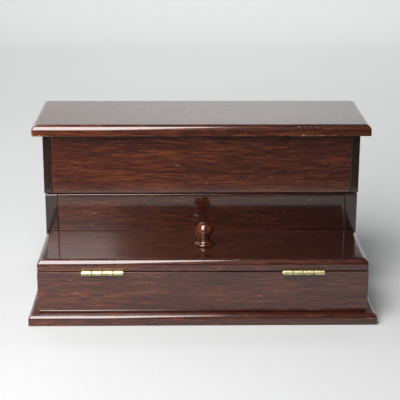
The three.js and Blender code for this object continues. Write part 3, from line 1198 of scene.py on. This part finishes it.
def barrel_tree():
    """Cylinders along x at each point, with eased ends: Radius, Length and Ease in metres."""
    t, given = tree_group("barrel_rows", "Radius", "Length", "Ease")
    radius, size, ease = (given.outputs[label] for label in ("Radius", "Length", "Ease"))
    half = add(t, "ShaderNodeMath", {0: size, 1: 0.5}, operation="MULTIPLY")
    less = add(t, "ShaderNodeMath", {0: half, 1: -1.0}, operation="MULTIPLY")
    start = add(t, "ShaderNodeCombineXYZ", {"X": less})
    stop = add(t, "ShaderNodeCombineXYZ", {"X": half})
    line = add(t, "GeometryNodeCurvePrimitiveLine", {"Start": start, "End": stop}, "Curve")
    line = add(t, "GeometryNodeResampleCurve", {"Curve": line, "Count": 34}, "Curve")
    spline = add(t, "GeometryNodeSplineParameter", out=None)
    along = spline.outputs["Length"]
    rest = add(t, "ShaderNodeMath", {0: size, 1: along}, operation="SUBTRACT")
    near = add(t, "ShaderNodeMath", {0: along, 1: rest}, operation="MINIMUM")
    share = add(
        t,
        "ShaderNodeMapRange",
        {"Value": near, "From Max": ease, "To Min": 0.0, "To Max": 1.0},
        "Result",
    )
    square = add(t, "ShaderNodeMath", {0: share, 1: -1.0, 2: 1.0}, operation="MULTIPLY_ADD")
    square = add(t, "ShaderNodeMath", {0: square, 1: 2.0}, operation="POWER")
    drop = add(t, "ShaderNodeMath", {0: square, 1: ease}, operation="MULTIPLY")
    radius = add(t, "ShaderNodeMath", {0: radius, 1: drop}, operation="SUBTRACT")
    ring = add(t, "GeometryNodeCurvePrimitiveCircle", {"Resolution": 40, "Radius": 1.0}, "Curve")
    tube = add(
        t,
        "GeometryNodeCurveToMesh",
        {"Curve": line, "Profile Curve": ring, "Scale": radius, "Fill Caps": True},
        "Mesh",
    )
    return close_tree(t, given, tube)


def screw_tree():
    """Countersunk slotted screws, heads at each point and facing down: Head, Shank, Sink, Depth
    and Slot in metres."""
    t, given = tree_group("hinge_screws", "Head", "Shank", "Sink", "Depth", "Slot")
    head, shank = given.outputs["Head"], given.outputs["Shank"]
    sink, depth = given.outputs["Sink"], given.outputs["Depth"]
    rim = 0.12 * MM
    face = add(t, "ShaderNodeMath", {0: head, 1: -0.1 * MM}, operation="ADD")
    sunk_depth = add(t, "ShaderNodeMath", {0: sink, 1: -rim}, operation="ADD")
    stem_depth = add(t, "ShaderNodeMath", {0: depth, 1: sink}, operation="SUBTRACT")
    tip = add(t, "ShaderNodeMath", {0: shank, 1: 0.25}, operation="MULTIPLY")
    below = add(t, "ShaderNodeCombineXYZ", {"Z": sink})
    # A cone for the head's eased rim, one for its countersink and one for the tapered shank:
    # far radius, near radius, height and start.
    cones = []
    for top, bottom, height, start in (
        (head, face, rim, (0, 0, 0)),
        (shank, head, sunk_depth, (0, 0, rim)),
        (tip, shank, stem_depth, below),
    ):
        cone = add(
            t,
            "GeometryNodeMeshCone",
            {
                "Vertices": 32,
                "Side Segments": 1,
                "Fill Segments": 1,
                "Radius Top": top,
                "Radius Bottom": bottom,
                "Depth": height,
            },
            "Mesh",
        )
        cones.append(add(t, "GeometryNodeTransform", {"Geometry": cone, "Translation": start}))
    solid = add(
        t,
        "GeometryNodeMeshBoolean",
        {"Mesh 2": cones[0]},
        None,
        operation="UNION",
        solver="EXACT",
    )
    for cone in cones[1:]:
        t.links.new(cone, pick(solid.inputs, "Mesh 2"))
    wide = add(t, "ShaderNodeMath", {0: head, 1: 3.0}, operation="MULTIPLY")
    deep = add(t, "ShaderNodeMath", {0: given.outputs["Slot"], 1: 2.0}, operation="MULTIPLY")
    size = add(
        t, "ShaderNodeCombineXYZ", {"X": wide, "Y": given.outputs["Slot"], "Z": deep}
    )
    bar = add(t, "GeometryNodeMeshCube", {"Size": size}, "Mesh")
    slotted = add(
        t,
        "GeometryNodeMeshBoolean",
        {"Mesh 1": solid.outputs["Mesh"], "Mesh 2": bar},
        "Mesh",
        operation="DIFFERENCE",
        solver="EXACT",
    )
    # A point's height above or below zero in the attribute "up" turns its screw over.
    up = add(
        t, "GeometryNodeInputNamedAttribute", {"Name": "up"}, "Attribute", data_type="FLOAT"
    )
    over = add(
        t,
        "ShaderNodeMapRange",
        {"Value": up, "From Min": -1.0, "From Max": 1.0, "To Min": math.pi, "To Max": 0.0},
        "Result",
    )
    spin = add(
        t, "GeometryNodeInputNamedAttribute", {"Name": "spin"}, "Attribute", data_type="FLOAT"
    )
    turn = add(t, "ShaderNodeCombineXYZ", {"X": over, "Z": spin})
    return close_tree(t, given, slotted, turn)


def leaf_plate(bm, line, side, up):
    """Adds one hinge leaf's plate with its two countersunk holes."""
    node = f"{line}_hinge_{side}_{'upper' if up > 0 else 'lower'}_leaf"
    low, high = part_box(node)
    centre, inward = hinge_frame(line, side)
    seam = SEAM[line] / 2
    z0 = centre.z + up * seam
    z1 = z0 + up * LEAF
    far = high.y if inward > 0 else low.y
    # The plate starts inside the barrel, so that the two meet.
    near = centre.y + inward * LEAF_START
    n = 24
    holes = hinge_screws(line, side)
    x0 = centre.x - HINGE_LENGTH / 2
    x1 = centre.x + HINGE_LENGTH / 2
    # The plate is drawn as two halves, each a frame of faces round one hole.
    edges_x = [(x0, centre.x), (centre.x, x1)]
    y_low, y_high = sorted((near, far))
    for (left, right), hole in zip(edges_x, holes):
        rings = []
        for z, radius in ((z0, SCREW_HEAD + 0.1 * MM), (z1, SCREW_HOLE)):
            ring, rim = [], []
            for i in range(n):
                a = 2 * math.pi * (i + 0.5) / n
                dx, dy = math.cos(a), math.sin(a)
                ring.append(bm.verts.new((hole.x + radius * dx, hole.y + radius * dy, z)))
                reach_x = (right - hole.x) if dx > 0 else (hole.x - left)
                reach_y = (y_high - hole.y) if dy > 0 else (hole.y - y_low)
                scale = min(reach_x / max(abs(dx), 1e-9), reach_y / max(abs(dy), 1e-9))
                rim.append(bm.verts.new((hole.x + scale * dx, hole.y + scale * dy, z)))
            # The point nearest each corner moves out to it, so that the plate stays square.
            for corner in ((left, y_low), (left, y_high), (right, y_low), (right, y_high)):
                nearest = min(rim, key=lambda v: math.dist(v.co.xy, corner))
                nearest.co.x, nearest.co.y = corner
            rings.append((ring, rim))
        (ring0, rim0), (ring1, rim1) = rings
        for i in range(n):
            j = (i + 1) % n
            for ring, rim in rings:
                bm.faces.new((ring[i], rim[i], rim[j], ring[j]))
            bm.faces.new((ring0[i], ring0[j], ring1[j], ring1[i]))
            bm.faces.new((rim0[i], rim1[i], rim1[j], rim0[j]))


def knuckle_starts(up):
    """Where each knuckle of a leaf starts along the hinge, from its middle: the upper leaf has
    the first and third, the lower leaf the second and fourth."""
    first = 0 if up > 0 else 1
    pitch = KNUCKLE + KNUCKLE_GAP
    return [-HINGE_LENGTH / 2 + i * pitch for i in range(first, KNUCKLES, 2)]


def tongue(bm, line, side, up, along):
    """Adds the strip of leaf that runs from the plate into one knuckle."""
    centre, inward = hinge_frame(line, side)
    face = centre.z + up * SEAM[line] / 2
    x = centre.x + inward * along
    xs = sorted((x, x + inward * KNUCKLE))
    ys = sorted((centre.y + inward * TONGUE_START, centre.y + inward * LEAF_START))
    zs = sorted((face, face + up * LEAF))
    add_block(bm, *zip(xs, ys, zs))


class SEWINGBOX_OT_hinges(bpy.types.Operator):
    """Builds the four butt hinges: leaves, knuckles, pins and slotted screws"""

    bl_idname = "sewing_box.hinges"
    bl_label = "Butt Hinges"

    def execute(self, context):
        barrels = barrel_tree()
        screws = screw_tree()
        brass = "rolled_brass"
        screw_sizes = {
            "Head": SCREW_HEAD,
            "Shank": SCREW_SHANK,
            "Sink": LEAF,
            "Depth": SCREW_LENGTH,
            "Slot": SCREW_SLOT,
        }
        draw = random.Random(7)
        for body in ("case", "flap", "lid"):
            leaves = leaves_of(body)
            nodes = []
            points = []
            screw_places = []
            screw_nodes = []
            ups = []
            spins = []
            bm = bmesh.new()
            for line, side, up in leaves:
                word = "upper" if up > 0 else "lower"
                name = f"{line}_hinge_{side}"
                centre, inward = hinge_frame(line, side)
                nodes.append(f"{name}_{word}_leaf")
                leaf_plate(bm, line, side, up)
                # A rear hinge is turned half round, so its knuckles run the other way.
                for along in knuckle_starts(up):
                    middle = inward * (along + KNUCKLE / 2)
                    points.append(centre + Vector((middle, 0, 0)))
                    tongue(bm, line, side, up, along)
                for k, place in enumerate(hinge_screws(line, side)):
                    z = centre.z + up * SEAM[line] / 2
                    screw_places.append(Vector((place.x, place.y, z)))
                    ups.append(up)
                    spins.append(draw.uniform(0, math.pi))
                    screw_nodes.append(f"{name}_{word}_screw_{k + 1}")
            mesh = mesh_from(bm, f"{body}_hinge_leaves")
            shade(mesh, 35)
            show(f"{body}_hinge_leaves", mesh, body, brass, nodes)
            sizes = {"Radius": BARREL, "Length": KNUCKLE, "Ease": 0.35 * MM}
            mesh = grown(barrels, points, f"{body}_hinge_knuckles", brass, sizes)
            shade(mesh, 50)
            show(f"{body}_hinge_knuckles", mesh, body, brass)
            name = f"{body}_hinge_screws"
            layers = (("up", ups), ("spin", spins))
            mesh = grown(screws, screw_places, name, brass, screw_sizes, layers)
            shade(mesh, 35)
            show(name, mesh, body, brass, screw_nodes)
        pins = [f"{line}_hinge_{side}_pin" for line, side in HINGES]
        low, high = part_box(pins[0])
        places = [hinge_frame(line, side)[0] for line, side in HINGES]
        sizes = {"Radius": PIN, "Length": high.x - low.x, "Ease": 0.3 * MM}
        mesh = grown(barrels, places, "hinge_pins", brass, sizes)
        shade(mesh, 50)
        show("hinge_pins", mesh, "case", brass, pins)
        return {"FINISHED"}


# ---- soft pieces ---------------------------------------------------------------------------


def button_places():
    """Where the pad's seven buttons pull it in, in x and y: three along the middle, two behind
    and two in front."""
    low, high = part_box("lid_pad")
    centre = (low + high) / 2
    across = high.x - low.x
    deep = high.y - low.y
    rows = [(-0.33, 0.0), (0.0, 0.0), (0.33, 0.0)]
    rows += [(-0.165, 0.26), (0.165, 0.26), (-0.165, -0.26), (0.165, -0.26)]
    return [Vector((centre.x + a * across, centre.y + b * deep)) for a, b in rows]


class SEWINGBOX_OT_pad(bpy.types.Operator):
    """Upholsters the pad inside the lid, swells it by cloth simulation and buttons it"""

    bl_idname = "sewing_box.pad"
    bl_label = "Lid Pad"

    def execute(self, context):
        s = context.scene.sewing_box_sizes
        low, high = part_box("lid_pad")
        inset = 2.0 * MM
        start_low = Vector((low.x + inset, low.y + inset, high.z - 5.0 * MM))
        start_high = Vector((high.x - inset, high.y - inset, high.z))
        bm = slab(start_low, start_high, 2.2 * MM)
        mesh = mesh_from(bm, "lid_pad_draft")
        obj = placed("lid_pad_draft", mesh)
        remesh = obj.modifiers.new("even", "REMESH")
        remesh.mode = "VOXEL"
        remesh.voxel_size = 2.5 * MM
        mesh = evaluated_mesh(obj, "lid_pad_velvet")
        places = button_places()
        count = len(mesh.vertices)
        rest = np.empty(count * 3)
        mesh.vertices.foreach_get("co", rest)
        rest = rest.reshape(-1, 3)
        near = np.min([np.hypot(rest[:, 0] - p.x, rest[:, 1] - p.y) for p in places], axis=0)
        obj = placed("lid_pad_velvet", mesh)
        held = obj.vertex_groups.new(name="held")
        fixed = np.where((rest[:, 2] > high.z - 1.2 * MM) | (near < 3.0 * MM))[0]
        held.add([int(i) for i in fixed], 1.0, "REPLACE")
        cloth = obj.modifiers.new("swell", "CLOTH")
        cloth.settings.quality = 5
        cloth.settings.mass = 0.2
        cloth.settings.tension_stiffness = 12
        cloth.settings.compression_stiffness = 12
        cloth.settings.bending_stiffness = 0.4
        cloth.settings.use_pressure = True
        cloth.settings.uniform_pressure_force = 5.0
        cloth.settings.vertex_group_mass = "held"
        cloth.settings.effector_weights.gravity = 0.0
        cloth.collision_settings.use_collision = False
        for number in range(1, 21):
            context.scene.frame_set(number)
        graph = context.evaluated_depsgraph_get()
        swollen = obj.evaluated_get(graph).to_mesh()
        moved = np.empty(count * 3)
        swollen.vertices.foreach_get("co", moved)
        obj.evaluated_get(graph).to_mesh_clear()
        moved = moved.reshape(-1, 3)
        obj.modifiers.remove(cloth)
        context.scene.frame_set(1)
        # The swelling is capped, and the pad stays in the space that its CAD solid holds.
        step = moved - rest
        far = np.linalg.norm(step, axis=1, keepdims=True)
        step *= np.minimum(1.0, PAD_SWELL / np.maximum(far, 1e-9))
        moved = rest + step
        moved[:, :2] = np.clip(moved[:, :2], np.array(low)[:2], np.array(high)[:2])
        floor = low.z + 0.1 * MM
        under = moved[:, 2] < floor
        moved[under, 2] = floor
        # Each button draws the velvet up into a dimple.
        depth = DIMPLE_DEPTH * np.exp(-((near / DIMPLE_REACH) ** 1.4))
        faces_down = rest[:, 2] < high.z - 2.0 * MM
        moved[faces_down, 2] += depth[faces_down]
        moved[:, 2] = np.minimum(moved[:, 2], high.z)
        mesh.vertices.foreach_set("co", moved.ravel())
        obj.vertex_groups.clear()
        soft = obj.modifiers.new("soften", "SUBSURF")
        soft.levels = 1
        soft.render_levels = 1
        mesh = evaluated_mesh(obj, "lid_pad_velvet")
        shade(mesh, 180)
        pad = show("lid_pad_velvet", mesh, "lid", "cotton_velvet", ["lid_pad"])
        self.buttons(places, floor, s.button)
        return {"FINISHED"}

    def buttons(self, places, floor, radius):
        """Covered buttons in the pad's dimples."""
        t, given = tree_group("covered_buttons", "Radius", "Height")
        wide, high = given.outputs["Radius"], given.outputs["Height"]
        round_sizes = {"Segments": 28, "Rings": 14, "Radius": wide}
        ball = add(t, "GeometryNodeMeshUVSphere", round_sizes, "Mesh")
        flat = add(t, "ShaderNodeMath", {0: high, 1: wide}, operation="DIVIDE")
        scale = add(t, "ShaderNodeCombineXYZ", {"X": 1.0, "Y": 1.0, "Z": flat})
        disc = add(t, "GeometryNodeTransform", {"Geometry": ball, "Scale": scale})
        close_tree(t, given, disc)
        points = [Vector((p.x, p.y, floor + 2.9 * MM)) for p in places]
        sizes = {"Radius": radius, "Height": 1.7 * MM}
        mesh = grown(t, points, "lid_pad_buttons", "cotton_velvet", sizes)
        shade(mesh, 180)
        show("lid_pad_buttons", mesh, "lid", "cotton_velvet")


def lining(name, x0, x1, y0, y1, z, thick, body, seed):
    """A piece of velvet cut to a floor and laid on it, with a slightly uneven face."""
    margin = 0.5 * MM
    x0, x1, y0, y1 = x0 + margin, x1 - margin, y0 + margin, y1 - margin
    nx = max(4, round((x1 - x0) / (4 * MM)))
    ny = max(4, round((y1 - y0) / (4 * MM)))
    draw = random.Random(seed)
    waves = [
        (draw.uniform(40, 110), draw.uniform(40, 110), draw.uniform(0, 6.28)) for _ in range(4)
    ]
    bm = bmesh.new()
    grid = []
    for j in range(ny + 1):
        row = []
        for i in range(nx + 1):
            x = x0 + (x1 - x0) * i / nx
            y = y0 + (y1 - y0) * j / ny
            lift = sum(math.sin(a * x + b * y + c) for a, b, c in waves) / len(waves)
            row.append(bm.verts.new((x, y, z + 0.25 * MM + 0.2 * MM * lift)))
        grid.append(row)
    for j in range(ny):
        for i in range(nx):
            bm.faces.new((grid[j][i], grid[j][i + 1], grid[j + 1][i + 1], grid[j + 1][i]))
    mesh = mesh_from(bm, name)
    obj = placed(name + "_draft", mesh)
    body_of_cloth = obj.modifiers.new("pile", "SOLIDIFY")
    body_of_cloth.thickness = thick
    body_of_cloth.offset = 1.0
    edge = obj.modifiers.new("edge", "BEVEL")
    edge.width = 0.3 * MM
    edge.segments = 2
    edge.limit_method = "ANGLE"
    edge.angle_limit = math.radians(50)
    mesh = evaluated_mesh(obj, name)
    shade(mesh, 60)
    piece = show(name, mesh, body, "cotton_velvet")
    return piece, (x1 - x0, y1 - y0)


class SEWINGBOX_OT_linings(bpy.types.Operator):
    """Lays velvet in the trays, the wells and the front compartment"""

    bl_idname = "sewing_box.linings"
    bl_label = "Velvet Linings"

    def execute(self, context):
        thick = context.scene.sewing_box_sizes.nap
        floor_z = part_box("bottom_board")[1].z
        seed = 60
        side_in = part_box("side_board_left")[1].x
        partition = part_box("well_partition")
        body_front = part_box("body_front_board")
        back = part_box("back_board")
        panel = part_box("front_panel")
        left, right = (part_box(f"compartment_divider_{side}") for side in ("left", "right"))
        rows = [
            ("well_lining_left", side_in, partition[0].x, body_front[1].y, back[0].y),
            ("well_lining_right", partition[1].x, -side_in, body_front[1].y, back[0].y),
            ("bay_lining_left", side_in, left[0].x, panel[1].y, body_front[0].y),
            ("bay_lining_centre", left[1].x, right[0].x, panel[1].y, body_front[0].y),
            ("bay_lining_right", right[1].x, -side_in, panel[1].y, body_front[0].y),
        ]
        for name, x0, x1, y0, y1 in rows:
            seed += 1
            piece, flat = lining(name, x0, x1, y0, y1, floor_z, thick, "case", seed)
        for side in ("left", "right"):
            body = f"tray_{side}"
            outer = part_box(f"tray_{side}_outer_end")
            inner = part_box(f"tray_{side}_inner_end")
            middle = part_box(f"tray_{side}_divider")
            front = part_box(f"tray_{side}_front")[1].y
            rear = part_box(f"tray_{side}_back")[0].y
            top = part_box(f"tray_{side}_bottom")[1].z
            first, last = sorted((outer, inner), key=lambda b: b[0].x)
            pairs = (("a", first[1].x, middle[0].x), ("b", middle[1].x, last[0].x))
            for letter, x0, x1 in pairs:
                seed += 1
                name = f"tray_{side}_lining_{letter}"
                piece, flat = lining(name, x0, x1, front, rear, top, thick, body, seed)
        return {"FINISHED"}


# ---- set -----------------------------------------------------------------------------------


def paper_material(settings):
    """Matt background paper: an even pale sheet whose upper part glows a little, as if lit
    from out of view."""
    made, t = new_material("background_paper")
    where = add(t, "ShaderNodeTexCoord", out="Object")
    fibre = add(t, "ShaderNodeTexNoise", {"Vector": where, "Scale": 400.0, "Detail": 2.0}, "Fac")
    base = Vector(settings.paper[:3])
    tone = add(
        t,
        "ShaderNodeValToRGB",
        {"Fac": fibre},
        stops=[(0.35, (*(base * 0.97), 1.0)), (0.65, (*base, 1.0))],
    )
    parts = add(t, "ShaderNodeSeparateXYZ", {"Vector": where}, out=None)
    up = add(
        t,
        "ShaderNodeMapRange",
        {"Value": parts.outputs["Z"], "From Min": 0.10, "From Max": 0.42},
        "Result",
        interpolation_type="SMOOTHSTEP",
    )
    # Painted light: the glow is brightest at x 0.15 and fades to each side, a painted pool.
    aside = add(t, "ShaderNodeMath", {0: parts.outputs["X"], 1: 0.15}, operation="SUBTRACT")
    aside = add(t, "ShaderNodeMath", {0: aside}, operation="ABSOLUTE")
    fade = add(
        t,
        "ShaderNodeMapRange",
        {"Value": aside, "From Min": 0.0, "From Max": 1.1, "To Min": 1.0, "To Max": 0.1},
        "Result",
        interpolation_type="SMOOTHSTEP",
    )
    glow = add(t, "ShaderNodeMath", {0: up, 1: fade}, operation="MULTIPLY")
    # A fainter glow lies on the paper where it starts to curve up.
    behind = add(
        t,
        "ShaderNodeMapRange",
        {"Value": parts.outputs["Y"], "From Min": 0.7, "From Max": 1.6, "To Max": 0.68},
        "Result",
        interpolation_type="SMOOTHSTEP",
    )
    glow = add(t, "ShaderNodeMath", {0: glow, 1: behind}, operation="MAXIMUM")
    glow = add(t, "ShaderNodeMath", {0: glow, 1: settings.backdrop_glow}, operation="MULTIPLY")
    surface = add(
        t,
        "ShaderNodeBsdfPrincipled",
        {
            "Base Color": tone,
            "Roughness": 0.9,
            "Specular IOR Level": 0.15,
            "Emission Color": (1.0, 1.0, 1.0, 1.0),
            "Emission Strength": glow,
        },
    )
    add(t, "ShaderNodeOutputMaterial", {"Surface": surface}, out=None)
    return made


def flag_material():
    """Black felt flag: takes light out of reflections."""
    made, t = new_material("black_flag")
    where = add(t, "ShaderNodeTexCoord", out="Object")
    nap = add(t, "ShaderNodeTexNoise", {"Vector": where, "Scale": 60.0, "Detail": 2.0}, "Fac")
    tone = add(
        t,
        "ShaderNodeValToRGB",
        {"Fac": nap},
        stops=[(0.3, (0.012, 0.012, 0.012, 1.0)), (0.7, (0.03, 0.03, 0.03, 1.0))],
    )
    surface = add(t, "ShaderNodeBsdfPrincipled", {"Base Color": tone, "Roughness": 0.95})
    add(t, "ShaderNodeOutputMaterial", {"Surface": surface}, out=None)
    return made


def set_piece(name, verts, faces, material, smooth=False):
    """A piece of the set, which isn't part of the box."""
    mesh = bpy.data.meshes.new(name)
    mesh.from_pydata(verts, [], faces)
    for p in mesh.polygons:
        p.use_smooth = smooth
    mesh.materials.append(material)
    obj = placed(name, mesh)
    return obj


def softbox(name, place, aim, width, depth, power, tint, glossy):
    """A rectangular area light at a place, aimed at a point and out of the camera's sight."""
    data = bpy.data.lights.new(name, "AREA")
    data.shape = "RECTANGLE"
    data.size = width
    data.size_y = depth
    data.energy = power
    data.color = tint
    obj = placed(name, data)
    obj.location = place
    direction = Vector(aim) - Vector(place)
    obj.rotation_euler = direction.to_track_quat("-Z", "Y").to_euler()
    obj.visible_camera = False
    obj.visible_glossy = glossy
    return obj


class SEWINGBOX_OT_stage(bpy.types.Operator):
    """Sets the camera, the paper sweep and the soft studio lights"""

    bl_idname = "sewing_box.stage"
    bl_label = "Studio Set"

    def execute(self, context):
        scene = context.scene
        settings = scene.sewing_box_set
        self.camera(scene)
        self.sweep(settings)
        self.flag()
        for name, (place, aim, width, depth, power, tint, glossy) in SOFTBOXES.items():
            softbox(name, place, aim, width, depth, getattr(settings, power), tint, glossy)
        self.world(scene)
        scene.view_settings.view_transform = "Standard"
        scene.view_settings.look = "None"
        scene.view_settings.exposure = 0.0
        scene.view_settings.gamma = 1.0
        return {"FINISHED"}

    def camera(self, scene):
        """Places the camera level with its horizon, but for a slight roll."""
        data = bpy.data.cameras.new("camera")
        data.lens = LENS
        data.sensor_width = 36.0
        obj = placed("camera", data)
        yaw, pitch, roll = (math.radians(a) for a in CAMERA_ANGLES)
        level = Vector((math.sin(yaw), math.cos(yaw), 0.0))
        right = Vector((math.cos(yaw), -math.sin(yaw), 0.0))
        up = Vector((0.0, 0.0, 1.0))
        ahead = level * math.cos(pitch) - up * math.sin(pitch)
        above = up * math.cos(pitch) + level * math.sin(pitch)
        x_axis = right * math.cos(roll) + above * math.sin(roll)
        y_axis = above * math.cos(roll) - right * math.sin(roll)
        place = Matrix.Translation(CAMERA_PLACE)
        turn = Matrix((x_axis, y_axis, -ahead)).transposed().to_4x4()
        obj.matrix_world = place @ turn
        scene.camera = obj

    def sweep(self, settings):
        """Pale paper that lies flat under the box and curves up behind it."""
        profile = [(-5.0, 0.0), (-1.0, 0.0), (0.0, 0.0), (1.0, 0.0), (1.35, 0.0)]
        for k in range(1, 13):
            a = math.radians(90 * k / 12)
            profile.append((1.35 + 0.35 * math.sin(a), 0.35 - 0.35 * math.cos(a)))
        profile.append((1.70, 0.66))
        verts = []
        for y, z in profile:
            for x in (-5.0, -1.2, 0.0, 1.2, 5.0):
                verts.append((x, y, z))
        faces = []
        for j in range(len(profile) - 1):
            for i in range(4):
                a = j * 5 + i
                faces.append((a, a + 1, a + 6, a + 5))
        set_piece("paper_sweep", verts, faces, paper_material(settings), smooth=True)

    def flag(self):
        """A dark flag low in front that only reflections see, so that the upright boards keep
        their depth of colour."""
        near, far, z = -0.335, -4.0, 0.004
        verts = [(-3.0, far, z), (3.0, far, z), (3.0, near, z), (-3.0, near, z)]
        obj = set_piece("front_flag", verts, [(0, 1, 2, 3)], flag_material())
        obj.visible_camera = False
        obj.visible_diffuse = False
        obj.visible_shadow = False
        obj.visible_transmission = False
        obj.visible_volume_scatter = False

    def world(self, scene):
        """A dim room, pale only where the camera looks past the paper."""
        world = bpy.data.worlds.new("studio")
        scene.world = world
        world.use_nodes = True
        t = world.node_tree
        t.nodes.clear()
        room = add(
            t, "ShaderNodeBackground", {"Color": (0.94, 0.96, 1.0, 1.0), "Strength": 0.07}
        )
        pale = add(t, "ShaderNodeBackground", {"Color": (0.80, 0.81, 0.82, 1.0), "Strength": 0.9})
        seen = add(t, "ShaderNodeLightPath", out="Is Camera Ray")
        both = add(t, "ShaderNodeMixShader", {"Fac": seen, 1: room, 2: pale})
        add(t, "ShaderNodeOutputWorld", {"Surface": both}, out=None)


# ---- add-on --------------------------------------------------------------------------------

OPERATORS = (
    SEWINGBOX_OT_case,
    SEWINGBOX_OT_inside,
    SEWINGBOX_OT_trays,
    SEWINGBOX_OT_flap,
    SEWINGBOX_OT_knob,
    SEWINGBOX_OT_lid,
    SEWINGBOX_OT_hinges,
    SEWINGBOX_OT_pad,
    SEWINGBOX_OT_linings,
    SEWINGBOX_OT_stage,
)


class SEWINGBOX_PT_panel(bpy.types.Panel):
    """Lists the box's pieces and their settings"""

    bl_idname = "SEWINGBOX_PT_panel"
    bl_label = "Sewing Box"
    bl_space_type = "VIEW_3D"
    bl_region_type = "UI"
    bl_category = "Sewing Box"

    def draw(self, context):
        column = self.layout.column(align=True)
        for operator in OPERATORS:
            column.operator(operator.bl_idname)
        for group in ("sewing_box_sizes", "sewing_box_finish", "sewing_box_set"):
            settings = getattr(context.scene, group)
            box = self.layout.box()
            for key in settings.__annotations__:
                box.prop(settings, key)


CLASSES = (SewingBoxFinish, SewingBoxSizes, SewingBoxSet, *OPERATORS, SEWINGBOX_PT_panel)


def register():
    """Registers the classes and the settings on the scene."""
    for c in CLASSES:
        bpy.utils.register_class(c)
    bpy.types.Scene.sewing_box_finish = PointerProperty(type=SewingBoxFinish)
    bpy.types.Scene.sewing_box_sizes = PointerProperty(type=SewingBoxSizes)
    bpy.types.Scene.sewing_box_set = PointerProperty(type=SewingBoxSet)


def unregister():
    """Removes what register added."""
    del bpy.types.Scene.sewing_box_set
    del bpy.types.Scene.sewing_box_sizes
    del bpy.types.Scene.sewing_box_finish
    for c in reversed(CLASSES):
        bpy.utils.unregister_class(c)


def main():
    """Builds the box and its set."""
    register()
    for operator in OPERATORS:
        group, name = operator.bl_idname.split(".")
        getattr(getattr(bpy.ops, group), name)()


if __name__ == "__main__":
    main()
